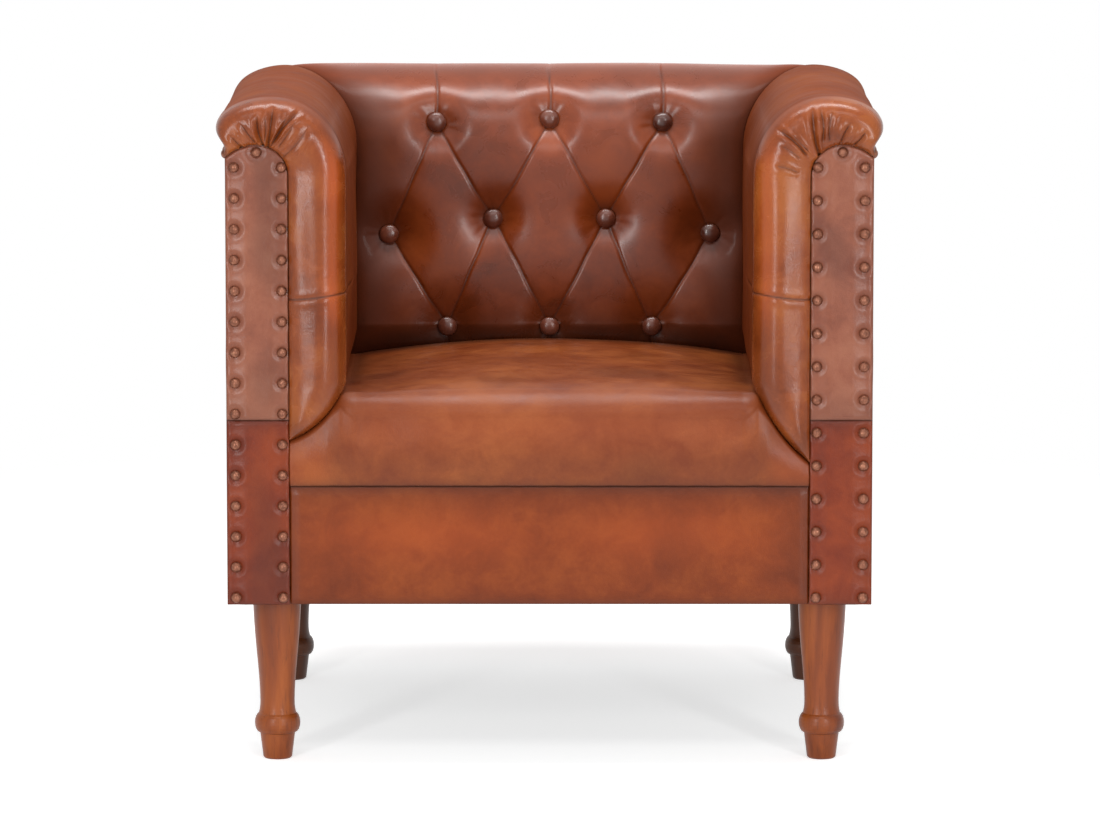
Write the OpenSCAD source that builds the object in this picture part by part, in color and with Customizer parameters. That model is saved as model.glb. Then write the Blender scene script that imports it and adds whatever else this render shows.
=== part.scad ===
// Tub armchair in leather: buttoned back, padded arms that roll over, nailed front facings, turned legs.
// The chair faces -Y, +X is on the right as seen from the front, and the floor is at Z = 0.

/* [Body] */
// Width over the outside leather of the two arms
body_w = 640; // [600:5:700]
// Depth from the front facings to the outside back leather
body_d = 560; // [520:5:620]
// Height of the underside of the body above the floor
body_z = 163; // [130:1:190]
// Height of the arm roll at its front end
arm_h = 666; // [650:1:700]
// How much lower the roll along the back lies
back_drop = 14; // [4:1:18]
// Thickness of arms and back, from outside leather to inside leather
wall_t = 117; // [105:1:130]
// How far the rolls stand out past the outside leather
roll_over = 8; // [5:1:12]
// Radius of the two rear corners, over the outside leather
corner_r = 75; // [68:1:90]

/* [Rolls] */
// Distance from the outermost line of the roll to its crest
crest_in = 53; // [45:1:60]
// Drop from the crest to the widest level on the outside of the roll
crest_drop_out = 28; // [24:1:29]
// Drop from the crest to where the inside face becomes upright
crest_drop_in = 76; // [60:1:90]
// Depth of the rounded front end of the arm roll
nose_depth = 28; // [18:1:34]
// How far the front of the arm padding swells past the facing
nose_swell = 8; // [4:1:10]
// Height over the seat's front edge where the rounded underside of the arm padding starts
under_rise = 10; // [4:1:16]
// Height where the underside of the arm padding ends at the facing, as a share of the way from the
// seat's seam to its front edge
under_low = 0.376; // [0.3:0.004:0.46]
// How straight that underside runs: 0 is round and 1 is straight
under_flat = 0.45; // [0.2:0.05:0.7]
// Drop from the top of the top rails to the outer edge of the rolls, where the outside leather ends
tuck_drop = 4; // [2:1:8]
// Number of pleats where the front of the arm padding is gathered round the facing
pleats = 8; // [5:1:9]
// Depth of those pleats
pleat_depth = 3; // [1:0.5:4]

/* [Seat] */
// Height of the apron leather, from the underside of the body to the seat seam
apron_h = 118; // [112:1:130]
// Height of the seat at its front edge
seat_h = 374; // [366:1:380]
// Rise of the seat's middle over its sides
seat_crown = 10; // [6:1:16]
// Fall of the seat from front to back
seat_fall = 13; // [6:1:17]
// Radius of the seat's front edge
seat_lip_r = 26; // [18:1:34]
// Radius of the front edge where it runs in under the arms
seat_side_r = 8; // [5:1:12]
// Swell of the seat's front face past the apron
seat_swell = 5; // [2:1:7]

/* [Frame] */
// Thickness of the seat rails
rail_t = 28; // [22:1:34]
// Height of the seat rails
rail_h = 100; // [90:1:104]
// Width of the posts and of the top rails
post_w = 50; // [44:1:56]
// Thickness of the top rails
top_rail_t = 30; // [24:1:34]
// Drop from the front of the arm roll to the top of the top rails
rail_drop = 44; // [40:1:50]
// Set-back of the arm's top rail behind the front of its post
rail_back = 2; // [1.5:0.5:4]
// Height of the tacking rails
tack_rail_h = 34; // [26:1:40]
// Thickness of the tacking rails
tack_rail_t = 22; // [16:1:26]
// Height of the front corner blocks
block_h = 40; // [30:1:50]
// Length of the front corner blocks along each rail
block_l = 85; // [70:1:110]

/* [Springs] */
// Number of zigzag springs under the seat
spring_count = 4; // [3:1:5]
// Distance between neighbouring springs
spring_gap = 108; // [90:1:115]
// Number of turns in each spring
spring_turns = 16; // [12:2:20]
// Straight width of one turn
spring_w = 32; // [24:1:40]
// Thickness of the spring wire
wire_d = 3.6; // [3:0.1:4.2]
// Thickness of the clips that hold the springs
clip_t = 0.8; // [0.5:0.1:1.2]
// Seat of the end turns on the rails, from the inner edge of the rail
clip_in = 14; // [12:1:16]

/* [Covers] */
// Thickness of the leather
leather_t = 2; // [1.5:0.1:2.5]
// Thickness of the backing boards under the outside leather
board_t = 3; // [2:0.5:4]
// Thickness of the boards inside the front facings
facing_board_t = 6; // [4:1:8]
// Width of the front facings
facing_w = 62; // [56:1:66]
// Drop from the front of the arm roll to the top of the facings
facing_drop = 44; // [40:1:50]
// Radius of the facing's top on its outer side
facing_outer_r = 43.5; // [40:0.5:50]
// Height of the lower facing leather, where the upper one meets it
facing_low_h = 185; // [165:1:205]
// Set-back of the apron leather behind the facings
apron_back = 3; // [2:0.5:4]
// Thickness of the linings, spring cloth and dust cover
cloth_t = 1; // [0.8:0.1:1.4]

/* [Buttons and nails] */
// Diameter of the covered buttons
button_d = 20; // [17:0.5:23]
// Height of a button's dome
button_h = 7; // [5:0.5:8]
// Depth to which the buttons pull the leather in
button_pull = 15; // [11:0.5:18]
// Depth of the folds between the buttons
fold_pull = 5; // [3:0.5:7]
// Distance between buttons in the top row
button_gap_top = 118; // [105:1:125]
// Distance between the two middle buttons of the middle row
button_gap_mid = 118; // [105:1:125]
// Distance of the outer buttons of the middle row from the inside faces of the arms
button_in = 35; // [31:1:45]
// How far those outer buttons hang below their row
button_outer_drop = 18; // [0:1:24]
// Distance between buttons in the bottom row
button_gap_low = 107; // [98:1:115]
// Height of the top row of buttons, as a share of the way from the seat to the back's crest
button_top = 0.795; // [0.76:0.005:0.815]
// Height of the middle row of buttons, as such a share
button_mid = 0.435; // [0.38:0.005:0.47]
// Height of the bottom row of buttons, as such a share
button_low = 0.036; // [0.02:0.004:0.064]
// Length of the stem that pulls a button in
button_stem_l = 3; // [2:0.5:5]
// Diameter of that stem
button_stem_d = 6; // [4:0.5:8]
// Diameter of the nail heads
nail_d = 10.5; // [9:0.5:12]
// Height of a nail head
nail_h = 4.5; // [3.5:0.5:5]
// Nails down each edge of the left facing
nails_left = 15; // [12:1:18]
// Nails down each edge of the right facing
nails_right = 14; // [12:1:18]
// Distance of the outer nails from the facing's outer edge
nail_in_outer = 9; // [7:0.5:11]
// Distance of the inner nails from the facing's inner edge
nail_in_inner = 6.5; // [6:0.5:9]
// Distance of the lowest nails from the bottom of the facing
nail_low = 7; // [6:1:10]
// Distance of the highest side nails from the top of the facing
nail_high = 22; // [18:1:28]
// Distance of the top nail from the top of the facing
nail_crown = 7; // [6:0.5:9]
// Distance between the nails under the rolls
roll_nail_gap = 31; // [26:1:36]

/* [Legs] */
// Diameter of the top of the leg
leg_top_d = 48; // [42:1:52]
// Diameter of the leg's neck
leg_neck_d = 34.5; // [30:0.5:38]
// Diameter of the leg's bead
leg_bead_d = 45.6; // [42:0.2:50]
// Height of the middle of the bead
leg_bead_z = 36; // [32:1:40]
// Height of the bead from edge to edge
leg_bead_h = 20; // [16:1:24]
// Diameter of the foot under the bead
foot_top_d = 35; // [32:0.5:38]
// Diameter of the foot on the floor
foot_d = 29; // [26:0.5:32]
// Distance of the leg's axis from the side of the body
leg_in_side = 47.5; // [42:0.5:52]
// Distance of the front legs' axis from the front of the body
leg_in_front = 47; // [44:0.5:52]
// Distance of the rear legs' axis from the back of the body
leg_in_back = 68; // [60:0.5:69]
// Diameter of the hanger bolts
bolt_d = 8; // [6:1:10]
// Length of the bolt inside the leg
bolt_down = 36; // [28:1:45]
// Length of the bolt above the leg
bolt_up = 32; // [26:1:35]
// Diameter of the flange of the screw-in nuts
nut_flange_d = 22; // [18:1:26]
// Thickness of that flange
nut_flange_t = 2; // [1.5:0.5:2.5]
// Length of the barrel of the screw-in nuts
nut_barrel_l = 9; // [7:1:12]

/* [Hidden] */
$fn = 48;
gap = 0.3;                                     // clearance between soft pieces and what they lie on
skin_gap = 0.15;                               // clearance between a cover and its foam
bore_gap = 0.1;                                // radial clearance of bolts, nuts, nails and wires
left = -1;
right = 1;

back_h = arm_h - back_drop;                    // height of the roll along the back
top_rail_z = arm_h - rail_drop;                // top of the top rails
tuck_z = top_rail_z - tuck_drop;
facing_top_z = arm_h - facing_drop;
facing_split_z = body_z + facing_low_h;
under_top_z = seat_h + under_rise;
z_seam = body_z + apron_h;                     // seam between the apron and the seat
under_low_z = mix(z_seam, seat_h, under_low);
button_top_z = mix(seat_h, back_h, button_top);
button_mid_z = mix(seat_h, back_h, button_mid);
button_low_z = mix(seat_h, back_h, button_low);
x_side = body_w / 2;                           // outside leather of an arm
y_front = -body_d / 2;                         // face of the front facings
y_back = body_d / 2;                           // outside back leather
x_roll = x_side + roll_over;                   // outermost line of the arm rolls
y_roll = y_back + roll_over;                   // outermost line of the back roll
z_frame = body_z + nut_flange_t;               // underside of the wooden frame
z_deck = z_frame + rail_h;                     // top of the seat rails
x_frame = x_side - leather_t - board_t;        // outer faces of the frame
y_frame = y_back - leather_t - board_t;
x_post = x_frame - post_w;                     // inner faces of the posts
y_post = y_frame - post_w;
facing_t = leather_t + facing_board_t;
y_post_front = y_front + facing_t;             // front faces of the arm posts
y_apron = y_front + apron_back;                // face of the apron leather
y_rail_front = y_apron + leather_t;            // front face of the front rail
y_rail_back = y_rail_front + rail_t;           // back face of the front rail and of the arm posts
bend_r = corner_r - leather_t - board_t;       // outer radius of the corner posts
x_bend = x_side - corner_r;                    // centre of the rear corner
y_bend = y_back - corner_r;
z_top_rail = top_rail_z - top_rail_t;
z_tack = under_low_z - 0.6 * tack_rail_h;      // underside of the tacking rails
x_leg = x_side - leg_in_side;
y_leg_front = y_front + leg_in_front;
y_leg_rear = y_back - leg_in_back;
x_facing = x_side - facing_w;                  // inner edge of a facing
z_wire = z_deck + bore_gap;                    // underside of the springs
z_clip = z_wire + wire_d + bore_gap + clip_t;  // top of the clips
z_panel = tuck_z - gap;                         // top edge of the outside leather
z_cloth = z_clip + gap;                        // underside of the spring cloth
z_foam = z_cloth + cloth_t + gap;              // underside of the seat foam

// Distances inwards from the outermost line of a roll
e_inside = wall_t + roll_over;                 // inside face of arms and back
e_frame = roll_over + leather_t + board_t;     // outer face of the frame
e_lining = e_frame + post_w + cloth_t;         // face of the lining on the posts
e_facing = roll_over + facing_w;               // inner edge of a facing
roll_r = corner_r + roll_over;                 // plan radius of the outermost line at a corner
foam_k = leather_t + skin_gap;                 // inset of the foam under the outer surface of the leather

left_nails = [for (i = [0:nails_left - 1]) nail_level(i, nails_left)];
right_nails = [for (i = [0:nails_right - 1]) nail_level(i, nails_right)];

function nail_level(i, count) =
    body_z + nail_low + i * (facing_top_z - nail_high - body_z - nail_low) / (count - 1);
function mix(a, b, t) = a + (b - a) * t;
function ease(t) = let (c = min(1, max(0, t))) c * c * (3 - 2 * c);

// A closed sheet between two grids of points with the same rows and columns. Each cell is split
// along the diagonal where crease(row, column) is greater, so that a fold stays one straight line.
module sheet(top, base, crease) {
    rows = len(top);
    cols = len(top[0]);
    n = rows * cols;
    points = [for (g = [top, base]) for (row = g) for (p = row) p];
    at = function (i, j) i * cols + j;
    turn = function (i, j)
        crease(i, j) + crease(i + 1, j + 1) >= crease(i + 1, j) + crease(i, j + 1);
    cell = function (a, b, c, d, straight)
        straight ? [[a, b, c], [a, c, d]] : [[a, b, d], [b, c, d]];
    // A cell at the rim, split along its shorter diagonal
    rim = function (a, b, c, d)
        cell(a, b, c, d, norm(points[a] - points[c]) <= norm(points[b] - points[d]));
    skin = [for (i = [0:rows - 2]) for (j = [0:cols - 2]) each
        cell(at(i, j), at(i, j + 1), at(i + 1, j + 1), at(i + 1, j), turn(i, j))];
    back = [for (f = skin) [f[2] + n, f[1] + n, f[0] + n]];
    ends = [for (j = [0:cols - 2]) each concat(
        rim(at(0, j), at(0, j) + n, at(0, j + 1) + n, at(0, j + 1)),
        rim(at(rows - 1, j + 1), at(rows - 1, j + 1) + n, at(rows - 1, j) + n, at(rows - 1, j)))];
    sides = [for (i = [0:rows - 2]) each concat(
        rim(at(i + 1, 0), at(i + 1, 0) + n, at(i, 0) + n, at(i, 0)),
        rim(at(i, cols - 1), at(i, cols - 1) + n, at(i + 1, cols - 1) + n, at(i + 1, cols - 1)))];
    polyhedron(points = points, faces = concat(skin, back, ends, sides), convexity = 6);
}

module on_side(side) {
    mirror([side == left ? 1 : 0, 0, 0]) children();
}

module block(low, high) {
    translate(low) cube(high - low);
}

// Stands a drawing of the X-Z plane up between two depths
module upright(y_from, y_to) {
    translate([0, y_to, 0]) rotate([90, 0, 0]) linear_extrude(y_to - y_from) children();
}

// The rolls
// Section of the roll at inset k: [distance inwards, height]. p runs 0 to 1 under the padding,
// 1 to 2 up the inside face, 2 to 4 over the crest, and 4 to tuck_p in under it on the outside.
tuck_p = 4.6;
under_start = asin((e_facing + gap - e_lining) / (e_inside - e_lining - gap));
function roll_section(p, k, crest) =
    let (z_in = crest - crest_drop_in, z_out = crest - crest_drop_out)
    p <= 1 ? let (start = under_start - 90, a = mix(start, 0, p),
                  in = mix(cos(a), mix(cos(start), 1, p), under_flat),
                  down = mix(sin(a), mix(sin(start), 0, p), under_flat))
        [e_lining + gap + (e_inside - k - e_lining - gap) * in,
         under_top_z + (under_top_z - under_low_z - k) * down]
    : p <= 2 ? [e_inside - k, mix(under_top_z, z_in, p - 1)]
    : p <= 3 ? let (a = 90 * (p - 2))
        [crest_in + (e_inside - k - crest_in) * cos(a), z_in + (crest - k - z_in) * sin(a)]
    : p <= 4 ? let (a = 90 * (p - 3))
        [crest_in - (crest_in - k) * sin(a), z_out + (crest - k - z_out) * cos(a)]
    : let (t = (p - 4) / (tuck_p - 4)) [k + roll_over * ease(t), mix(z_out, tuck_z, t)];

// Where the foam at section value p rests: up the lining, over the top rail and down its outside
function roll_rest(p, outer) =
    let (z_low = roll_section(0, foam_k, back_h)[1], z_high = top_rail_z + gap)
    p <= 2 ? [e_lining + gap, mix(z_low, z_top_rail + gap, p / 2)]
    : p <= 3 ? [e_lining + gap, mix(z_top_rail + gap, z_high, p - 2)]
    : p <= 4 ? [mix(e_lining + gap, outer, p - 3), z_high]
    : [outer, mix(z_high, tuck_z, (p - 4) / (tuck_p - 4))];

// The edge of the facing that meets section value p, moved outwards by some distance
function facing_edge(p, out) =
    let (x = roll_over + facing_w / 2, r_in = facing_w / 2 + gap + out, r_out = facing_outer_r + gap + out,
         z_in = facing_top_z - facing_w / 2, z_out = facing_top_z - facing_outer_r)
    p <= 1 ? [e_facing + gap + out, mix(under_low_z + 6, under_top_z, p)]
    : p <= 2 ? [e_facing + gap + out, mix(under_top_z, z_in, p - 1)]
    : p <= 3 ? [x + r_in * cos(90 * (p - 2)), z_in + r_in * sin(90 * (p - 2))]
    : let (a = pow((p - 3) / (tuck_p - 3), 1.4) * asin((facing_w / 2) / facing_outer_r))
        [x - r_out * sin(a), z_out + r_out * cos(a)];

// Plan of the roll round the rear corner: angle 0 is on the arm, 45 is the mitre
corner_step = 22.5;
function corner_plan(e, angle, short) =
    e < roll_r - 1 ? [x_bend + (roll_r - e) * cos(angle), y_bend + (roll_r - e) * sin(angle) - short]
    : [x_roll - e, y_roll - e - 5 * (1 - angle / 45) - short];
e_rest = e_frame - gap;                         // outer face of the frame, and round the corner post
e_rest_corner = roll_r - (bend_r + gap) / cos(corner_step / 2);

arm_ps = concat([0, 0.35, 0.7, 1, 1.5], [for (j = [0:2 * pleats]) 2 + j / pleats], [4.2, 4.4, tuck_p]);
function valley(p) = p > 2 && p < 4 && round(p * pleats) % 2 == 1 ? 1 : 0;
corner_angles = [2 * corner_step, corner_step, 0];
nose_angles = [0, 30, 60, 90];
nose_pleat = [0, 0, 0.4, 0.8];
front_steps = [0.4, 0.75, 1];
front_pleat = [1, 1, 0.3];

// One line of the arm padding from the mitre to the facing, at section value p and inset k
function arm_line(p, k) =
    let (e = roll_section(p, k, back_h)[0], q = facing_edge(p, 0), s = roll_section(p, k, arm_h),
         span = norm(s - q), along = (q - s) / span, r = min(nose_depth, 0.55 * span),
         swell = nose_swell * ease(span / 30), fold = pleat_depth * valley(p),
         y_nose = mix(y_front - nose_swell + nose_depth, y_post_front, under_edge(p)),
         y_tip = y_front - swell + k, y_end = y_front + 1 + k)
    concat(
        [for (a = corner_angles) let (c = corner_plan(e, a, skin_gap))
            [c[0], c[1], roll_section(p, k, back_h)[1]]],
        [for (j = [0:3]) let (a = nose_angles[j], w = s + along * r * (1 - cos(a)))
            [x_roll - w[0], mix(y_nose, y_tip, sin(a)) + fold * nose_pleat[j], w[1]]],
        [for (j = [0:2]) let (f = front_steps[j], w = mix(s + along * r, q, f))
            [x_roll - w[0], mix(y_tip, y_end, f * f) + fold * front_pleat[j], w[1]]]);

// How far section value p is round the outer edge: 0 at the widest level, 1 at the end
function under_edge(p) = max(0, (p - 4) / (tuck_p - 4));

// The same line where the foam rests on the frame. It ends behind the facing's edge below the
// crest, and beside it from there on, in a band that follows that edge.
rest_band = 4;
function arm_rest_line(p) =
    let (b = roll_rest(p, e_rest), q = facing_edge(p, 0), under = under_edge(p),
         y_stop = y_post_front + rail_back - gap, depth = mix(nose_depth, 3, under),
         y_end = y_post_front + 2 * gap - 3 * gap * ease((p - 0.7) / 0.8),
         tip = mix(b, facing_edge(min(4, p), rest_band), min(1, p) * (1 - under)))
    concat(
        [for (a = corner_angles) let (w = roll_rest(p, e_rest_corner), c = corner_plan(w[0], a, skin_gap))
            [c[0], c[1], w[1]]],
        [for (j = [0:2]) [x_roll - b[0], y_stop + depth * (1 - j / 2), b[1]]],
        [[x_roll - tip[0], y_end, tip[1]]],
        [for (f = front_steps) let (w = mix(tip, q, f)) [x_roll - w[0], y_end, w[1]]]);

// Turns the diagonals of the last strip of cells the other way
last_strip = function (i, j) i == len(arm_ps) - 2 ? j : 0;

module arm_cover(side) {
    color("#a8552f") on_side(side)
        sheet([for (p = arm_ps) arm_line(p, 0)], [for (p = arm_ps) arm_line(p, leather_t)], last_strip);
}

module arm_foam(side) {
    color("#e8dcb5") on_side(side)
        sheet([for (p = arm_ps) arm_line(p, foam_k)], [for (p = arm_ps) arm_rest_line(p)], last_strip);
}

// The buttoned back
// Columns and rows count quarters of a diamond, so that buttons and folds fall on grid points.
x_inside = x_roll - e_inside;                   // inside faces of the arms
button_outer_x = x_inside - button_in;
mesh_cols = 14;
row_levels = [[0, button_top_z], [4, button_mid_z], [8, button_low_z]];
col_top = [[0, 0], [8, button_gap_top], [14, x_inside]];
col_mid = [[0, 0], [4, button_gap_mid / 2], [12, button_outer_x], [14, x_inside]];
col_low = [[0, 0], [8, button_gap_low], [14, x_inside]];
function col_x(n, row) =
    let (t = lookup(n, col_top), m = lookup(n, col_mid), b = lookup(n, col_low))
    row <= 0 ? t : row <= 4 ? mix(t, m, row / 4) : mix(m, b, min(1, (row - 4) / 4));
function row_z(n, row) =
    lookup(row, row_levels) - button_outer_drop * ease((n - 4) / 8) * max(0, 1 - abs(row - 4) / 4);
function off_fold(n) = min(1, abs(n - 8 * round(n / 8)) / 3);
// How far the leather is pulled in at a grid point: 1 on a fold, 0 in the middle of a diamond
function fold_share(n, row) =
    row < 0 || row > 8 ? (n > 9 ? 0 : 1 - ease(off_fold(n)))
    : n > 12 ? 0 : 1 - ease(off_fold(n - row)) * ease(off_fold(n + row));
function is_button(n, row) =
    (row == 0 || row == 8) && (n == 0 || n == 8) || row == 4 && (n == 4 || n == 12);
function by_button(n, row) =
    len([for (a = [-1:1]) for (b = [-1:1]) if (is_button(abs(n + a), row + b)) 1]) > 0;
near_pull = mix(fold_pull, button_pull, 0.45);
function pull(n, row, share) =
    is_button(n, row) ? button_pull
    : n == 13 && by_button(n, row) ? 0.6 * near_pull
    : (by_button(n, row) ? near_pull : fold_pull) * fold_share(n, row) * share;

// Rows from bottom to top: [section value, lattice row]. Rows 0 to 8 are on the inside face.
back_rows = concat([[0, 10], [0.7, 9]], [for (row = [8:-1:0]) [1 + 1.2 * (8 - row) / 8, row]],
    [[2.42, -1], [2.6, -2], [2.82, -3], [3, -4], [3.4, -6], [3.7, -7], [4, -8], [4.3, -9],
     [tuck_p, -9]]);
function face_e(z, k) =
    let (z_in = back_h - crest_drop_in)
    z <= z_in ? e_inside - k
    : crest_in + (e_inside - k - crest_in) * sqrt(1 - pow((z - z_in) / (back_h - k - z_in), 2));

// Distance from the middle for column n, where the roll is e inwards
function back_x(n, e, row) =
    let (end = min(x_roll - e, x_bend), x8 = col_x(8, row), raw = col_x(n, row),
         on_face = x8 + (raw - x8) * (end - x8) / (x_inside - x8))
    n <= 8 ? raw
    : mix(on_face, mix(x8, end, min(1, (n - 8) / 4)), ease((e_inside - e) / (e_inside - roll_r)));

function back_point(i, r, k, rest) =
    let (n = abs(i), p = r[0], row = r[1], on_face = row >= 0 && row <= 8,
         s = on_face ? [face_e(row_z(n, row), k), row_z(n, row)] : roll_section(p, k, back_h),
         share = on_face ? 1 : row < 0 ? ease(1 + (row + 1) / 5) : 0.3,
         w = rest ? roll_rest(p, n < 12 ? e_rest : e_rest_corner) : s,
         in = rest || p > 3.4 ? 0 : pull(n, row, share),
         lattice = max(0, min(8, row)), e = w[0],
         a = n == 14 ? 2 * corner_step : corner_step,
         plan = n < 13 ? [back_x(n, e, lattice), y_roll - e]
             : e < roll_r - 1 ? [x_bend + (roll_r - e) * sin(a), y_bend + (roll_r - e) * cos(a)]
             : [n == 14 ? x_roll - e : mix(back_x(12, e, lattice), x_roll - e, 0.6), y_roll - e])
    [(plan[0] - (n == 14 ? skin_gap : 0)) * sign(i), plan[1] + in, w[1] - (row < -1 ? in * 0.7 : 0)];

module back_sheet(k, k_base, rest) {
    grid = function (inset, on_frame)
        [for (r = back_rows) [for (i = [mesh_cols:-1:-mesh_cols]) back_point(i, r, inset, on_frame)]];
    crease = function (a, b) pull(abs(mesh_cols - b), back_rows[a][1], 1);
    sheet(grid(k, false), grid(k_base, rest), crease);
}

module inside_back_cover() {
    color("#7d3f26") back_sheet(0, leather_t, false);
}

module back_foam() {
    color("#e8dcb5") back_sheet(foam_k, foam_k, true);
}

module button() {
    dome_r = (pow(button_d / 2, 2) + pow(button_h, 2)) / (2 * button_h);
    rotate_extrude() {
        intersection() {
            translate([0, button_h - dome_r]) circle(dome_r);
            square([button_d / 2, button_h]);
        }
        polygon([[0, 0], [button_d / 2, 0], [button_d / 2, -button_rim],
            [button_stem_d / 2, -button_stem_l], [0, -button_stem_l]]);
    }
}
button_rim = 0.8;
// How far the leather is pulled in where the rim of a button lies on it, by the narrowest column
least_step = min(button_gap_low / 8, button_gap_top / 8, (button_outer_x - button_gap_mid / 2) / 8,
    (x_inside - button_gap_top) / 6);
rim_pull = mix(button_pull, 0.92 * near_pull, button_d / 2 / least_step);

module back_buttons() {
    color("#6d3520")
        for (row = [0, 4, 8], i = [-12:4:12]) if (is_button(abs(i), row)) {
            z = row_z(abs(i), row);
            y = y_roll - face_e(z, 0) + rim_pull - button_rim - gap;
            lean = atan2(face_e(z - button_d / 2, 0) - face_e(z + button_d / 2, 0), button_d);
            translate([sign(i) * col_x(abs(i), row), y, z]) rotate([90 - lean, 0, 0]) button();
        }
}

// The seat
seat_x = x_facing - gap;                        // side edges, beside the facings
seat_y_rear = y_roll - e_facing - gap;          // rear edge
y_inside = y_roll - e_inside;                   // inside face of the back
// Underside of the padding as [distance outwards from its inside face, height], kept clear by the
// seat. The last point goes on past the padding's edge, for the corners.
under_points = [for (p = [1, 0.7, 0.35, 0])
    let (s = roll_section(p, -3 * gap, back_h)) [e_inside - s[0], s[1]]];
under_line = concat(under_points, [1.5 * under_points[3] - 0.5 * under_points[2]]);
function shoulder_z(n) = n < under_line[0][0] ? arm_h : lookup(n, under_line);
function seat_top_z(x, y) =
    let (t = max(0, (y - y_front) / (y_inside - y_front)), side = pow(min(1, abs(x) / x_inside), 2))
    seat_h - seat_fall * t + seat_crown * (1 - side) * (0.25 + 0.75 * ease(t * 2.5))
        - seat_crown * side * 0.8 * ease(t);
// How far out under the padding a point of the seat lies, rounded where arm and back meet
corner_power = 8;
function under_n(x, y) =
    let (in_x = max(0, x - x_inside), in_y = max(0, y - y_inside))
    pow(pow(in_x, corner_power) + pow(in_y, corner_power), 1 / corner_power);
function seat_z(x, y) = min(seat_top_z(x, y), shoulder_z(under_n(abs(x), y)));

seat_half = concat(
    [for (f = [0.25, 0.5, 0.72, 0.9]) f * x_inside],
    [for (i = [0:2]) x_inside + under_line[i][0]], [seat_x]);
seat_xs = concat([for (i = [len(seat_half) - 1:-1:0]) -seat_half[i]], [0], seat_half);
seat_ys = concat([seat_y_rear], [for (i = [2:-1:0]) y_inside + under_line[i][0]],
    [for (f = [0.93, 0.75, 0.5, 0.28]) mix(y_front, y_inside, f)]);
lip_angles = [0, 22.5, 45, 67.5, 90];
function lip_r(x) =
    let (start = seat_half[3], end = seat_half[5])
    mix(seat_lip_r, seat_side_r, ease((abs(x) - start) / (end - start)));
face_steps = [0.3, 0.65, 1];

// The line across the seat at one x, from back to front and down its face, at inset k
function seat_line(x, k) =
    let (y_face = y_rail_front - leather_t + k, r = lip_r(x) - k, y_lip = y_face + r,
         z_lip = seat_z(x, y_lip) - k, z_low = z_seam + gap,
         soft = min(1, 0.9 * (z_lip - z_low) / lip_r(x)), z_face = z_lip - r * soft,
         inner = max(-seat_x + k, min(seat_x - k, x)))
    concat(
        [for (y = seat_ys) [inner, min(y, seat_y_rear - k), seat_z(x, y) - k]],
        [for (a = lip_angles) [inner, y_lip - r * sin(a), z_lip - r * soft * (1 - cos(a))]],
        [for (f = face_steps) [inner, y_face - seat_swell * soft * sin(180 * f), mix(z_face, z_low, f)]]);

// The same line where the foam lies on the spring cloth
function seat_rest_line(x) =
    let (y_low = y_rail_front + gap, n = len(lip_angles) + len(face_steps) - 1,
         inner = max(-seat_x + foam_k, min(seat_x - foam_k, x)))
    concat(
        [for (y = seat_ys) [inner, min(y, seat_y_rear - foam_k), z_foam]],
        [for (j = [0:n]) [inner, mix(y_low + seat_lip_r, y_low, j / n), z_foam]]);

seat_crease = function (i, j) j < len(seat_ys) ? seat_z(seat_xs[i], seat_ys[j]) : 0;

module seat_cover() {
    color("#a04f2b")
        sheet([for (x = seat_xs) seat_line(x, 0)], [for (x = seat_xs) seat_line(x, leather_t)],
            seat_crease);
}

module seat_foam() {
    color("#e8dcb5")
        sheet([for (x = seat_xs) seat_line(x, foam_k)], [for (x = seat_xs) seat_rest_line(x)], seat_crease);
}

module apron_cover() {
    color("#9a4526")
        block([-x_facing + gap, y_apron, body_z], [x_facing - gap, y_rail_front, z_seam]);
}

// The frame
module front_rail() {
    color("#c79a63") {
        block([-x_post, y_post_front, z_frame], [x_post, y_rail_back, z_deck]);
        block([-x_facing + gap, y_rail_front, z_frame], [x_facing - gap, y_rail_back, z_deck]);
    }
}

module back_rail() {
    color("#c79a63") block([-x_bend, y_frame - rail_t, z_frame], [x_bend, y_frame, z_deck]);
}

module side_rail(side) {
    color("#c79a63") on_side(side)
        block([x_frame - rail_t, y_rail_back, z_frame], [x_frame, y_bend, z_deck]);
}

module arm_post(side) {
    color("#c79a63") on_side(side)
        block([x_post, y_post_front, z_frame], [x_frame, y_rail_back, z_top_rail]);
}

module quarter(r) {
    intersection() {
        circle(r);
        square(r);
    }
}

module corner_post(side) {
    color("#c79a63") on_side(side) difference() {
        translate([x_bend, y_bend, z_frame]) linear_extrude(top_rail_z - z_frame) difference() {
            quarter(bend_r);
            circle(bend_r - post_w);
        }
        bolt_hole(x_leg, y_leg_rear);
    }
}

// The hole for a screw-in nut and its bolt, up from the underside of the frame
module bolt_hole(x, y) {
    translate([x, y, z_frame - 1])
        cylinder(r = bolt_d / 2 + 1 + bore_gap, h = nut_barrel_l + 1 + bore_gap);
    translate([x, y, z_frame]) cylinder(r = bolt_d / 2 + 3 * bore_gap, h = bolt_up + 2);
}

module arm_top_rail(side) {
    color("#c79a63") on_side(side)
        block([x_post, y_post_front + rail_back, z_top_rail], [x_frame, y_bend, top_rail_z]);
}

module back_top_rail() {
    color("#c79a63") block([-x_bend, y_post, z_top_rail], [x_bend, y_frame, top_rail_z]);
}

module arm_tacking_rail(side) {
    color("#c79a63") on_side(side)
        block([x_post, y_rail_back, z_tack], [x_post + tack_rail_t, y_bend, z_tack + tack_rail_h]);
}

module back_tacking_rail() {
    color("#c79a63")
        block([-x_bend, y_post, z_tack], [x_bend, y_post + tack_rail_t, z_tack + tack_rail_h]);
}

module front_corner_blocks() {
    color("#c79a63") for (side = [left, right]) on_side(side) difference() {
        translate([x_frame - rail_t, y_rail_back, z_frame]) linear_extrude(block_h)
            polygon([[0, 0], [-block_l, 0], [0, block_l]]);
        bolt_hole(x_leg, y_leg_front);
    }
}

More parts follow.
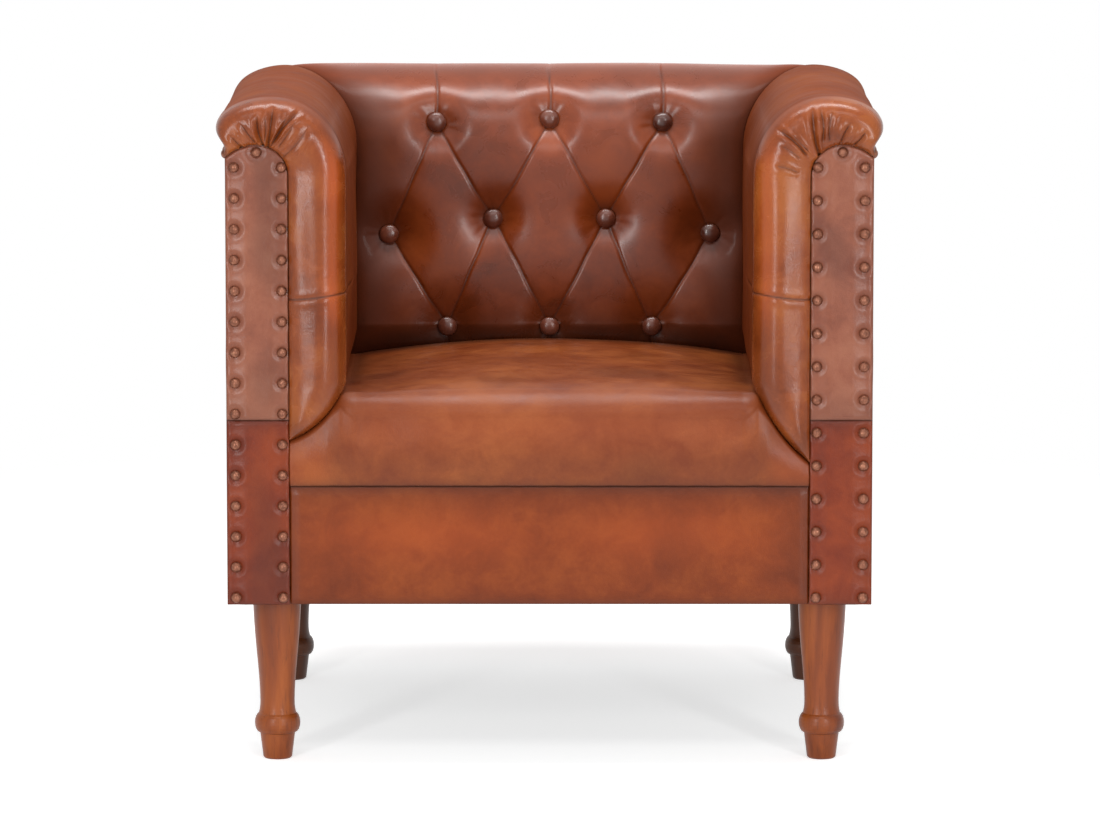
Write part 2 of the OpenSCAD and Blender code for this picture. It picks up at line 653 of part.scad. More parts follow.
module arm_lining(side) {
    color("#b9a77c") on_side(side)
        block([x_post - cloth_t, y_post_front + gap, z_tack], [x_post, y_bend, top_rail_z]);
}

module back_lining() {
    color("#b9a77c") block([-x_bend, y_post - cloth_t, z_tack], [x_bend, y_post, top_rail_z]);
}

// The springs
y_wire_front = y_rail_back - clip_in;
y_wire_back = y_frame - rail_t + clip_in;
wire_pitch = (y_wire_back - y_wire_front) / spring_turns;
spring_xs = [for (i = [0:spring_count - 1]) (i - (spring_count - 1) / 2) * spring_gap];

// The bend of a spring from one straight to the next, open towards -X
module spring_bend() {
    outer = (wire_pitch + wire_d) / 2;
    difference() {
        intersection() {
            circle(outer);
            translate([0, -outer]) square([outer, 2 * outer]);
        }
        circle(outer - wire_d);
    }
}

module zigzag_spring() {
    linear_extrude(wire_d) {
        for (i = [0:spring_turns])
            translate([-spring_w / 2, y_wire_front + i * wire_pitch - wire_d / 2])
                square([spring_w, wire_d]);
        for (i = [0:spring_turns - 1]) let (side = i % 2 == 0 ? right : left)
            translate([side * spring_w / 2, y_wire_front + (i + 0.5) * wire_pitch])
                mirror([side == left ? 1 : 0, 0]) spring_bend();
    }
}

module seat_springs() {
    color("#6f6f72") for (x = spring_xs) translate([x, 0, z_wire]) zigzag_spring();
}

// A clip folded over the end turn of a spring and nailed to the rail
clip_w = 16;
clip_l = 9;
module spring_clip() {
    groove = wire_d + 2 * bore_gap;
    translate([-clip_w / 2, 0, 0]) rotate([90, 0, 90]) linear_extrude(clip_w) difference() {
        translate([-clip_l / 2, 0]) square([clip_l, z_clip - z_deck]);
        translate([-groove / 2, -1]) square([groove, groove + 1]);
    }
}

module spring_clips() {
    color("#8a8a8c") for (x = spring_xs, y = [y_wire_front, y_wire_back])
        translate([x, y, z_deck]) spring_clip();
}

module spring_cloth() {
    color("#cbbd94")
        block([-seat_x, y_rail_front + gap, z_cloth], [seat_x, seat_y_rear, z_cloth + cloth_t]);
}

// The outside
// Plan of a wall that runs along the arm and round the rear corner, between two insets
module wrap(inset, thick) {
    translate([0, y_post_front, 0]) {
        translate([x_side - inset - thick, 0]) square([thick, y_bend - y_post_front]);
    }
    translate([x_bend, y_bend]) difference() {
        quarter(corner_r - inset);
        circle(corner_r - inset - thick);
    }
}

module side_board(side) {
    color("#8c6f4a") on_side(side)
        translate([0, 0, z_frame]) linear_extrude(z_panel - z_frame) wrap(leather_t, board_t);
}

module back_board() {
    color("#8c6f4a")
        block([-x_bend, y_frame, z_frame], [x_bend, y_back - leather_t, z_panel]);
}

module outside_arm(side) {
    color("#a8552f") on_side(side)
        translate([0, 0, body_z]) linear_extrude(z_panel - body_z) wrap(0, leather_t);
}

module outside_back() {
    color("#8f4527")
        block([-x_bend, y_back - leather_t, body_z], [x_bend, y_back, z_panel]);
}

module dust_cover() {
    inset = leather_t + gap;
    color("#2b2928") translate([0, 0, z_frame - cloth_t]) linear_extrude(cloth_t) difference() {
        for (side = [left, right]) on_side(side) {
            translate([0, y_post_front + gap]) square([x_side - inset, y_bend - y_post_front - gap]);
            translate([0, y_bend - 1]) square([x_bend, y_back - inset - y_bend + 1]);
            translate([x_bend, y_bend]) quarter(corner_r - inset);
        }
        for (side = [left, right], y = [y_leg_front, y_leg_rear])
            translate([side * x_leg, y]) circle(leg_top_d / 2 + 1);
    }
}

// The facings
// Outline of a facing in the X-Z plane, from one height to another, drawn in by an inset
module facing_outline(inset, z_from, z_to) {
    w = facing_w;
    intersection() {
        translate([x_facing + inset, z_from]) square([w - 2 * inset, z_to - z_from]);
        union() {
            translate([x_facing, body_z]) square([w, facing_top_z - w / 2 - body_z]);
            intersection() {
                translate([x_facing, body_z]) square([w / 2, facing_top_z - body_z]);
                translate([x_facing + w / 2, facing_top_z - w / 2]) circle(w / 2 - inset);
            }
            intersection() {
                translate([x_facing + w / 2, body_z]) square([w / 2, facing_top_z - body_z]);
                translate([x_facing + w / 2, facing_top_z - facing_outer_r]) circle(facing_outer_r - inset);
            }
        }
    }
}

function nail_spots(levels) = concat(
    [for (z = levels) for (x = [x_side - nail_in_outer, x_facing + nail_in_inner]) [x, z]],
    [[x_side - facing_w / 2, facing_top_z - nail_crown]]);

module nail_holes(levels) {
    for (s = nail_spots(levels))
        translate([s[0], y_front - 1, s[1]]) rotate([-90, 0, 0])
            cylinder(r = 1 + bore_gap, h = facing_t + 2, $fn = 16);
}

module facing_upper(side, levels) {
    facing_leather(side, levels, facing_split_z, facing_top_z);
}

module facing_lower(side, levels) {
    facing_leather(side, levels, body_z, facing_split_z);
}

module facing_leather(side, levels, z_from, z_to) {
    color("#96492e") on_side(side) difference() {
        upright(y_front, y_post_front) facing_outline(0, z_from, z_to);
        upright(y_front + leather_t, y_post_front + 1)
            facing_outline(leather_t, body_z - 1, facing_top_z);
        nail_holes(levels);
    }
}

module facing_board(side, levels) {
    color("#b58f5c") on_side(side) difference() {
        upright(y_front + leather_t, y_post_front)
            facing_outline(leather_t + bore_gap, z_frame, facing_top_z);
        nail_holes(levels);
    }
}

// A domed nail on the origin, with its head towards -Y and its shank towards +Y
module nail(shank) {
    r = (pow(nail_d / 2, 2) + pow(nail_h, 2)) / (2 * nail_h);
    rotate([90, 0, 0]) {
        rotate_extrude() intersection() {
            translate([0, nail_h - r]) circle(r);
            square([nail_d / 2, nail_h]);
        }
        if (shank > 0) translate([0, 0, -shank]) cylinder(r = 1, h = shank + 0.5, $fn = 16);
    }
}

module facing_nails(side, levels) {
    color("#8a6a4c") on_side(side)
        for (s = nail_spots(levels)) translate([s[0], y_front, s[1]]) nail(facing_t);
}

z_roll_nail = tuck_z - 1 - nail_d / 2;
arm_nail_count = floor((y_bend - y_post_front - nail_d) / roll_nail_gap);
back_nail_count = floor((2 * x_bend - nail_d) / roll_nail_gap);

module roll_nails_arm(side) {
    color("#8a6a4c") on_side(side) {
        for (i = [0:arm_nail_count])
            translate([x_side + bore_gap, y_post_front + nail_d + i * roll_nail_gap, z_roll_nail])
                rotate([0, 0, 90]) nail(0);
        for (i = [0:3]) let (a = (i + 0.5) * corner_step, r = corner_r + bore_gap)
            translate([x_bend + r * cos(a), y_bend + r * sin(a), z_roll_nail])
                rotate([0, 0, 90 + a]) nail(0);
    }
}

module roll_nails_back() {
    color("#8a6a4c")
        for (i = [0:back_nail_count - 1])
            translate([(i - (back_nail_count - 1) / 2) * roll_nail_gap, y_back + bore_gap, z_roll_nail])
                rotate([0, 0, 180]) nail(0);
}

// The legs
function bezier(a, b, c, d, n) = [for (i = [0:n]) let (t = i / n, u = 1 - t)
    u * u * u * a + 3 * u * u * t * b + 3 * u * t * t * c + t * t * t * d];

leg_outline = let (z_low = leg_bead_z - leg_bead_h / 2, z_high = leg_bead_z + leg_bead_h / 2,
                   neck_r = leg_neck_d / 2, z_neck = z_high + 12)
    concat(
        [[0, 0], [foot_d / 2 - 1.5, 0], [foot_d / 2, 1.5], [foot_top_d / 2, z_low]],
        [for (a = [-60:20:60])
            [mix(foot_top_d / 2, leg_bead_d / 2, cos(a)), leg_bead_z + leg_bead_h / 2 * sin(a)]],
        bezier([neck_r + 1.5, z_high], [neck_r + 0.3, z_high + 4], [neck_r, z_neck - 4],
            [neck_r, z_neck], 4),
        bezier([neck_r, z_neck + 2], [neck_r + 0.5, mix(z_neck, body_z, 1 / 3)],
            [leg_top_d / 2 - 1, mix(z_neck, body_z, 4 / 7)],
            [leg_top_d / 2, body_z], 10),
        [[0, body_z]]);

module leg(side, y) {
    color("#a05a33") on_side(side) translate([x_leg, y, 0]) difference() {
        rotate_extrude() polygon(leg_outline);
        translate([0, 0, body_z - bolt_down - 1]) cylinder(r = bolt_d / 2, h = bolt_down + 2);
    }
}

module leg_bolts() {
    color("#9a9a9c") for (side = [left, right], y = [y_leg_front, y_leg_rear])
        translate([side * x_leg, y, body_z - bolt_down])
            cylinder(r = bolt_d / 2 - bore_gap, h = bolt_down + bolt_up);
}

module leg_nuts() {
    color("#b0b0b3") for (side = [left, right], y = [y_leg_front, y_leg_rear])
        translate([side * x_leg, y, body_z]) difference() {
            union() {
                cylinder(r = nut_flange_d / 2, h = nut_flange_t);
                cylinder(r = bolt_d / 2 + 1, h = nut_flange_t + nut_barrel_l);
            }
            translate([0, 0, -1]) cylinder(r = bolt_d / 2, h = nut_flange_t + nut_barrel_l + 2);
        }
}

front_rail();
back_rail();
side_rail(left);  // side_rail_left
side_rail(right);  // side_rail_right
arm_post(left);  // arm_post_left
arm_post(right);  // arm_post_right
corner_post(left);  // corner_post_left
corner_post(right);  // corner_post_right
arm_top_rail(left);  // arm_top_rail_left
arm_top_rail(right);  // arm_top_rail_right
back_top_rail();
arm_tacking_rail(left);  // arm_tacking_rail_left
arm_tacking_rail(right);  // arm_tacking_rail_right
back_tacking_rail();
front_corner_blocks();
arm_lining(left);  // arm_lining_left
arm_lining(right);  // arm_lining_right
back_lining();
seat_springs();
spring_clips();
spring_cloth();
seat_foam();
seat_cover();
apron_cover();
arm_foam(left);  // arm_foam_left
arm_foam(right);  // arm_foam_right
arm_cover(left);  // arm_cover_left
arm_cover(right);  // arm_cover_right
back_foam();
inside_back_cover();
back_buttons();
facing_board(left, left_nails);  // facing_board_left
facing_board(right, right_nails);  // facing_board_right
facing_upper(left, left_nails);  // facing_upper_left
facing_upper(right, right_nails);  // facing_upper_right
facing_lower(left, left_nails);  // facing_lower_left
facing_lower(right, right_nails);  // facing_lower_right
facing_nails(left, left_nails);  // facing_nails_left
facing_nails(right, right_nails);  // facing_nails_right
side_board(left);  // side_board_left
side_board(right);  // side_board_right
back_board();
outside_arm(left);  // outside_arm_left
outside_arm(right);  // outside_arm_right
outside_back();
roll_nails_arm(left);  // roll_nails_left
roll_nails_arm(right);  // roll_nails_right
roll_nails_back();
dust_cover();
leg(left, y_leg_front);  // leg_front_left
leg(right, y_leg_front);  // leg_front_right
leg(left, y_leg_rear);  // leg_rear_left
leg(right, y_leg_rear);  // leg_rear_right
leg_bolts();
leg_nuts();
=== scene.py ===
import math

import bpy
import numpy as np
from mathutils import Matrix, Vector


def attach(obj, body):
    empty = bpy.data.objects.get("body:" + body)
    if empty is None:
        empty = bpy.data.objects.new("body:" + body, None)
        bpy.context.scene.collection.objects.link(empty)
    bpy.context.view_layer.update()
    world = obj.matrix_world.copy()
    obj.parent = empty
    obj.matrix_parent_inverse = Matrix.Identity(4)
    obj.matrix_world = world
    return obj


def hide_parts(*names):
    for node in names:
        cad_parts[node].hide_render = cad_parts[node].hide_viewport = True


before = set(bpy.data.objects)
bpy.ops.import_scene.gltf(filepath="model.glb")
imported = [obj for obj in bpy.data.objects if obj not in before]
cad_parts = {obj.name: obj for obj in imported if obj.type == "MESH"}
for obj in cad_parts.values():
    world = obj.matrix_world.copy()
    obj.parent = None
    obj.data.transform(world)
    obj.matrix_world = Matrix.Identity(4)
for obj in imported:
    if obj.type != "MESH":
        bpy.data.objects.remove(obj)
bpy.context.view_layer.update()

MM = 0.001
WAVE_COUNT = 14

# Sizes of the part in millimetres, as the model has them: underside of the body, crests of arms and back
BODY_Z, ARM_H, BACK_H = 163.0, 666.0, 652.0
# Sides, front and rear of the body, and how far the rolls stand out over it
X_SIDE, Y_FRONT, Y_BACK, OVER = 320.0, -280.0, 280.0, 8.0
X_ROLL, Y_ROLL = X_SIDE + OVER, Y_BACK + OVER
# The rear corners, and a roll's crest: how far in it lies, and its fall on the outside and the inside
CORNER_R, CREST_IN, DROP_OUT, DROP_IN = 75.0, 53.0, 28.0, 76.0
ROLL_R = CORNER_R + OVER
X_BEND, Y_BEND = X_SIDE - CORNER_R, Y_BACK - CORNER_R
# How far in the pads' inner faces and the linings lie
E_INSIDE, E_LINING = 125.0, 64.0
X_IN, Y_IN = X_ROLL - E_INSIDE, Y_ROLL - E_INSIDE
# The rounding of the arm fronts, and how much they stand out over the facings
NOSE_DEPTH, NOSE_SWELL = 28.0, 8.0
# The undersides of the pads, and where the rolls' leather ends on the outside
UNDER_TOP, UNDER_LOW, UNDER_FLAT, TUCK_Z, TUCK_P = 384.0, 316.0, 0.45, 618.0, 4.6
# The undersides of the two arms end at different heights by the facings, as they were stuffed by hand
LOW_SHIFT = {-1: 10.0, 1: -12.0}
FACING_W, FACING_TOP, FACING_R, FACING_SPLIT, FACING_T = 62.0, 622.0, 43.5, 348.0, 8.0
X_FACING = X_SIDE - FACING_W
# The seat: its front seam, its top with its crown and its fall to the rear, and the rounding of its lip
SEAM_Z, SEAT_H, CROWN, FALL, LIP_R, SIDE_R, SEAT_SWELL = 281.0, 374.0, 10.0, 13.0, 26.0, 4.0, 5.0
SEAT_X, SEAT_REAR, Y_SEAT = 257.7, 217.7, -277.0
PAD_SEAM_Z = 469.0
SHEET_T, PANEL_T, GAP = 2.0, 1.6, 0.3
# A covered button's radius, the depth of its socket, and how far it is drawn into the leather there
BUTTON_R, SOCKET, DRAWN_IN = 9.9, 12.2, 2.6
SIDES = ((-1, "left"), (1, "right"))

# Cloth simulation: frames, points along each side of a sheet, and how deep the air behind it is
CLOTH_FRAMES, CLOTH_GRID, AIR_DEPTH = 20, 60, 25.0


def mix(a, b, t):
    """a at t = 0, b at t = 1."""
    return a + (b - a) * t


def ease(t):
    """0 up to t = 0 and 1 from t = 1 on, smoothly."""
    c = np.clip(t, 0, 1)
    return c * c * (3 - 2 * c)


def bump(d, w):
    """1 at d = 0, falling smoothly to 0 over a few widths w."""
    return np.exp(-(d / w) ** 2)


def within(t, start, rise, end, fall):
    """1 from start to end and 0 outside, easing over rise after start and fall before end."""
    return ease((t - start) / rise) * ease((end - t) / fall)


def most(*layers):
    """The largest of several layers, point by point."""
    largest = layers[0]
    for layer in layers[1:]:
        largest = np.maximum(largest, layer)
    return largest


def steps(*stops):
    """Values from the first stop on, with the given number of them from each stop to the next."""
    values, at = [], stops[0]
    for count, to in zip(stops[1::2], stops[2::2]):
        values.append(np.linspace(at, to, count)[:-1])
        at = to
    return np.append(np.concatenate(values), at)


def waves(x, y, seed, size):
    """Smooth random relief from about -1 to 1, with features of about size."""
    rng = np.random.default_rng(seed)
    out = np.zeros(np.broadcast(x, y).shape)
    for _ in range(WAVE_COUNT):
        a, f, ph = rng.uniform(0, 2 * math.pi), rng.uniform(0.6, 1.7) / size, rng.uniform(0, 2 * math.pi)
        out += np.sin((x * math.cos(a) + y * math.sin(a)) * f * math.pi + ph)
    return out / math.sqrt(WAVE_COUNT) / 1.6


# Materials
class Tree:
    """Short-hand for building a node material."""

    def __init__(self, name):
        self.mat = bpy.data.materials.new(name)
        self.mat.use_nodes = True
        self.nodes, self.links = self.mat.node_tree.nodes, self.mat.node_tree.links
        self.nodes.clear()
        self.out = self.nodes.new("ShaderNodeOutputMaterial")
        self.bsdf = self.nodes.new("ShaderNodeBsdfPrincipled")
        self.links.new(self.bsdf.outputs[0], self.out.inputs[0])
        self.coord = self.nodes.new("ShaderNodeTexCoord").outputs["Object"]

    def put(self, sock, value):
        """Link a socket, or set it to a plain value."""
        if isinstance(value, bpy.types.NodeSocket):
            self.links.new(value, sock)
        else:
            sock.default_value = value

    def surface(self, name, value):
        """Give an input of the surface a colour or value, from a node or plain."""
        self.put(self.bsdf.inputs[name], value)

    def node(self, kind, **values):
        """A new node with some of its inputs linked or set."""
        n = self.nodes.new("ShaderNode" + kind)
        for name, value in values.items():
            self.put(n.inputs[name], value)
        return n

    def mapped(self, scale=(1, 1, 1), location=(0, 0, 0)):
        return self.node("Mapping", Vector=self.coord, Scale=scale, Location=location).outputs[0]

    def noise(self, scale, detail, rough, distort=0.0, vector=None, seed=0.0):
        vector = vector or self.mapped(location=(seed, seed * 0.7, seed * 1.3))
        n = self.node("TexNoise", Vector=vector, Scale=scale, Detail=detail, Roughness=rough,
                      Distortion=distort)
        return n.outputs["Fac"]

    def voronoi(self, scale):
        return self.node("TexVoronoi", Vector=self.coord, Scale=scale).outputs["Distance"]

    def ramp(self, fac, stops):
        n = self.nodes.new("ShaderNodeValToRGB")
        self.links.new(fac, n.inputs[0])
        e = n.color_ramp.elements
        while len(e) < len(stops):
            e.new(0.5)
        for el, (pos, col) in zip(e, stops):
            el.position = pos
            el.color = (*col, 1)
        return n.outputs[0]

    def span(self, fac, a, b, lo, hi):
        """lo up to a, hi from b on, and straight between."""
        n = self.nodes.new("ShaderNodeMapRange")
        self.links.new(fac, n.inputs[0])
        for i, v in zip((1, 2, 3, 4), (a, b, lo, hi)):
            n.inputs[i].default_value = v
        return n.outputs[0]

    def math(self, op, a, b):
        n = self.nodes.new("ShaderNodeMath")
        n.operation = op
        self.put(n.inputs[0], a)
        self.put(n.inputs[1], b)
        return n.outputs[0]

    def blend(self, fac, a, b):
        """Colour a, going over to b where fac is 1."""
        n = self.nodes.new("ShaderNodeMix")
        n.data_type = "RGBA"
        self.put(n.inputs["Factor"], fac)
        self.put(n.inputs[6], (*a, 1) if isinstance(a, tuple) else a)
        self.put(n.inputs[7], (*b, 1) if isinstance(b, tuple) else b)
        return n.outputs[2]

    def attribute(self, name):
        n = self.nodes.new("ShaderNodeAttribute")
        n.attribute_type, n.attribute_name = "GEOMETRY", name
        return n.outputs["Fac"]

    def bumps(self, *layers):
        """Chain of (height, strength, distance)."""
        last = None
        for h, s, d in layers:
            n = self.node("Bump", Height=h, Strength=s, Distance=d)
            if last:
                self.links.new(last, n.inputs["Normal"])
            last = n.outputs[0]
        self.links.new(last, self.bsdf.inputs["Normal"])


def srgb(*rgb):
    """Linear colour from one written with 0 to 255."""
    return tuple(c / 12.92 if c <= 0.04045 else ((c + 0.055) / 1.055) ** 2.4 for c in (v / 255 for v in rgb))


# Colours the mesh lays on the leather: dark burnish together with painted shade, warm dye together with
# painted reflected light, and dark seams together with painted shade in creases
BURNISH_AND_SHADE, WARM_AND_REFLECTED_LIGHT, SEAM_AND_CREASE_SHADE = (48, 20, 9), (178, 78, 28), (38, 18, 14)


def leather(name, light, main, deep, seed, gloss, rough=0.36, mottle=1.0, grain=1.0, coat=0.0, dull_and_shaded=False):
    """Hand-rubbed leather: mottled dye, fine grain and soft creases. The mesh says where it is darkened,
    by burnish and by painted shade, where it is orange, from warm dye and from painted reflected light, where
    a dark seam or a painted crease shade runs, and, where the caller asks for it, also where it is dull and
    darkened with painted shade."""
    t = Tree(name)
    big = t.noise(9, 3, 0.55, 0.4, seed=seed)
    mid = t.noise(34, 5, 0.6, 0.6, seed=seed + 3)
    fine = t.noise(260, 4, 0.6, seed=seed + 7)
    dye = t.math("ADD", t.math("MULTIPLY", big, 0.62), t.math("MULTIPLY", mid, 0.38))
    dye = t.math("ADD", dye, t.math("MULTIPLY", t.math("SUBTRACT", fine, 0.5), 0.12))
    half = 0.13 / mottle
    col = t.ramp(dye, [(0.5 - half, srgb(*deep)), (0.5, srgb(*main)), (0.5 + half, srgb(*light))])
    # the mesh's orange, from warm dye and from painted reflected light, its painted shade with burnish, and
    # its dark seams with painted crease shade
    col = t.blend(t.attribute("warm_and_reflected_light"), col, srgb(*WARM_AND_REFLECTED_LIGHT))
    patchy = t.math("MULTIPLY", t.attribute("shade_and_burnish"), t.span(mid, 0.3, 0.7, 0.8, 1.15))
    col = t.blend(patchy, col, srgb(*BURNISH_AND_SHADE))
    seam = t.attribute("seam")
    col = t.blend(seam, col, srgb(*SEAM_AND_CREASE_SHADE))
    dull = t.math("MULTIPLY", seam, 0.3)
    specular = gloss
    if dull_and_shaded:
        dull_and_shade = t.attribute("dull_and_shade")
        # the dull places are also darkened towards the deep dye, as painted shade
        col = t.blend(t.math("MULTIPLY", dull_and_shade, 0.6), col, srgb(*deep))
        dull = t.math("ADD", dull, t.math("MULTIPLY", dull_and_shade, 0.36))
        specular = t.span(dull_and_shade, 0, 1, gloss, 0.15 * gloss)
    t.surface("Base Color", col)
    t.surface("Roughness", t.math("ADD", t.span(mid, 0.3, 0.7, rough - 0.05, rough + 0.07), dull))
    t.surface("Specular IOR Level", specular)
    t.surface("Coat Weight", coat)
    t.surface("Coat Roughness", 0.16)
    pebble = t.voronoi(820)
    pores = t.noise(1500, 2, 0.5, seed=seed)
    crease = t.noise(120, 3, 0.55, 0.5, seed=seed + 11)
    t.bumps((crease, 0.1 * grain, 0.002), (pebble, 0.12 * grain, 0.0006), (pores, 0.1 * grain, 0.0004))
    return t.mat


ARM = leather("arm_leather", (156, 84, 36), (136, 65, 26), (108, 46, 14),
              seed=1.0, rough=0.24, grain=0.7, gloss=0.36, dull_and_shaded=True)
BACK = leather("back_leather", (138, 62, 22), (118, 50, 18), (94, 38, 13),
               seed=2.0, rough=0.29, mottle=0.9, grain=0.25, gloss=0.44, coat=0.06, dull_and_shaded=True)
SEAT = leather("seat_leather", (146, 77, 34), (128, 62, 26), (112, 49, 19), seed=4.0, gloss=0.29, dull_and_shaded=True)
APRON = leather("apron_leather", (138, 63, 17), (121, 50, 11), (104, 41, 8), seed=6.0, gloss=0.26)
FACE_UP = leather("facing_leather_upper", (150, 88, 62), (136, 74, 50), (116, 58, 38),
                  seed=8.0, rough=0.33, gloss=0.45)
FACE_LOW = leather("facing_leather_lower", (132, 50, 8), (116, 39, 5), (96, 29, 4), seed=9.0, gloss=0.32)
OUTSIDE = leather("outside_leather", (152, 76, 42), (134, 62, 32), (112, 48, 26),
                  seed=10.0, rough=0.4, gloss=0.24)
BUTTON = leather("button_leather", (112, 58, 40), (92, 46, 32), (70, 34, 24),
                 seed=12.0, rough=0.28, grain=0.7, gloss=0.5, coat=0.2)


def brass():
    """Hammered nail heads, rubbed with the same brown as the leather."""
    t = Tree("aged_brass")
    n = t.noise(300, 4, 0.6, seed=3)
    col = t.ramp(n, [(0.3, srgb(96, 54, 38)), (0.55, srgb(136, 84, 62)), (0.75, srgb(168, 116, 90))])
    t.surface("Base Color", col)
    t.surface("Metallic", 0.55)
    t.surface("Roughness", t.span(n, 0.3, 0.7, 0.42, 0.3))
    t.bumps((t.voronoi(420), 0.12, 0.0006))
    return t.mat


def leg_wood(name, tone):
    """Stained and polished turned wood, with its grain upright. A lower tone is darker."""
    t = Tree(name)
    lines = t.noise(38, 6, 0.62, 0.8, vector=t.mapped(scale=(1, 1, 0.09)))
    pores = t.noise(420, 3, 0.6, vector=t.mapped(scale=(1, 1, 0.06)))
    big = t.noise(16, 3, 0.5, 0.3)
    shades = [srgb(*(c * tone for c in k)) for k in ((104, 44, 12), (138, 66, 22), (164, 86, 34))]
    col = t.ramp(lines, list(zip((0.3, 0.5, 0.72), shades)))
    col = t.blend(t.span(pores, 0.55, 0.72, 0, 0.5), col, srgb(80 * tone, 36 * tone, 18 * tone))
    col = t.blend(t.span(big, 0.4, 0.7, 0, 0.35), col, srgb(118 * tone, 54 * tone, 28 * tone))
    t.surface("Base Color", col)
    t.surface("Roughness", t.span(lines, 0.3, 0.7, 0.34, 0.46))
    t.surface("Specular IOR Level", 0.3)
    t.surface("Coat Weight", 0.08)
    t.surface("Coat Roughness", 0.2)
    t.bumps((lines, 0.06, 0.001), (pores, 0.12, 0.0004))
    return t.mat


def plain(name, a, b, rough, metal=0.0, scale=60.0, stretch=(1, 1, 1), weave=0.0):
    """Materials of the hidden pieces: two tones, with weave threads where it is cloth."""
    t = Tree(name)
    n = t.noise(scale, 5, 0.6, 0.3, vector=t.mapped(scale=stretch))
    t.surface("Base Color", t.ramp(n, [(0.35, srgb(*a)), (0.65, srgb(*b))]))
    t.surface("Roughness", t.span(n, 0.3, 0.7, rough - 0.05, rough + 0.05))
    t.surface("Metallic", metal)
    if weave:
        threads = []
        for direction in "XY":
            w = t.node("TexWave", Vector=t.coord, Scale=weave)
            w.bands_direction = direction
            threads.append(w.outputs["Fac"])
        t.bumps((t.math("MAXIMUM", *threads), 0.4, 0.0004))
    else:
        t.bumps((n, 0.15, 0.001))
    return t.mat


FRAME_WOOD = plain("frame_wood", (150, 112, 70), (184, 146, 98), 0.7, scale=40, stretch=(1, 1, 6))
BOARD = plain("backing_board", (140, 110, 72), (168, 136, 94), 0.75, scale=50)
CLOTH = plain("lining_cloth", (150, 134, 100), (176, 160, 124), 0.9, weave=600)
DUST = plain("dust_cloth", (24, 24, 25), (38, 38, 40), 0.95, weave=900)
FOAM = plain("padding", (216, 200, 150), (232, 220, 176), 0.95, scale=300)
SPRING = plain("spring_steel", (70, 70, 74), (104, 104, 108), 0.4, metal=0.9, scale=90)
ZINC = plain("zinc_steel", (150, 150, 154), (186, 186, 190), 0.35, metal=0.9, scale=90)
# the rear legs get a darker copy of the leg wood, as painted shade
BRASS, LEG, LEG_REAR_SHADED = brass(), leg_wood("leg_wood", 1.0), leg_wood("rear_leg_wood_shaded", 0.6)


# Mesh helpers
def finish_piece(obj, material, replaces):
    """Material, body, slot and replaced nodes of a piece."""
    obj.data.materials.append(material)
    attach(obj, "root")
    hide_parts(*replaces)


def linked(name, data):
    """A new object in the scene, with a mesh, lamp or camera."""
    obj = bpy.data.objects.new(name, data)
    bpy.context.scene.collection.objects.link(obj)
    return obj


def grid_faces(idx):
    """Faces between the neighbours in a grid of point numbers."""
    return np.stack([idx[:-1, :-1], idx[:-1, 1:], idx[1:, 1:], idx[1:, :-1]], -1).reshape(-1, 4)


def grid_object(name, pts, fields, flip=False, thick=SHEET_T):
    """A smooth leather sheet from a grid of points in millimetres, with its thickness behind it."""
    nu, nv = pts.shape[:2]
    idx = np.arange(nu * nv).reshape(nu, nv)
    quads = grid_faces(idx)
    if flip:
        quads = quads[:, ::-1]
    me = bpy.data.meshes.new(name)
    me.vertices.add(nu * nv)
    me.vertices.foreach_set("co", (pts.reshape(-1) * MM).astype(np.float32))
    me.loops.add(quads.size)
    me.loops.foreach_set("vertex_index", quads.reshape(-1).astype(np.int32))
    me.polygons.add(len(quads))
    me.polygons.foreach_set("loop_start", np.arange(0, quads.size, 4, dtype=np.int32))
    me.polygons.foreach_set("loop_total", np.full(len(quads), 4, np.int32))
    me.polygons.foreach_set("use_smooth", np.ones(len(quads), bool))
    me.update(calc_edges=True)
    for key in ("shade_and_burnish", "warm_and_reflected_light", "seam", "dull_and_shade"):
        a = me.attributes.new(key, "FLOAT", "POINT")
        if key in fields:
            values = np.clip(np.broadcast_to(fields[key], (nu, nv)), 0, 1)
            a.data.foreach_set("value", values.reshape(-1).astype(np.float32))
    obj = linked(name, me)
    m = obj.modifiers.new("leather", "SOLIDIFY")
    m.thickness, m.offset, m.use_even_offset = thick * MM, -1, False
    return obj


def row_lengths(pts):
    """Length over a sheet from its first row to each point."""
    length = np.cumsum(np.linalg.norm(np.diff(pts, axis=0), axis=2), 0)
    return np.concatenate([np.zeros((1, pts.shape[1])), length])


def normals(pts):
    du, dv = np.gradient(pts, axis=0), np.gradient(pts, axis=1)
    n = np.cross(du, dv)
    return n / np.maximum(np.linalg.norm(n, axis=2, keepdims=True), 1e-9)


def sided_object(name, side, pts, fields, thick=SHEET_T):
    """A sheet of the right-hand side, or its mirror image on the left."""
    return grid_object(name, pts * (side, 1.0, 1.0), fields, flip=side < 0, thick=thick)


def spread(coarse, rows, cols, nu, nv):
    """Values on some rows and columns of a grid, carried smoothly to all of them."""
    wide = np.array([np.interp(np.arange(nv), cols, r) for r in coarse])
    full = np.array([np.interp(np.arange(nu), rows, c) for c in wide.T]).T
    for axis, k in ((0, nu // len(rows)), (1, nv // len(cols))) * 2:
        k = 2 * k + 1
        edge = [(k // 2, k // 2) if i == axis else (0, 0) for i in (0, 1)]
        total = np.cumsum(np.pad(full, edge, "edge"), axis=axis)
        total = np.concatenate([np.zeros_like(total.take([0], axis)), total], axis)
        size = full.shape[axis]
        full = (total.take(range(k, k + size), axis) - total.take(range(size), axis)) / k
    return full


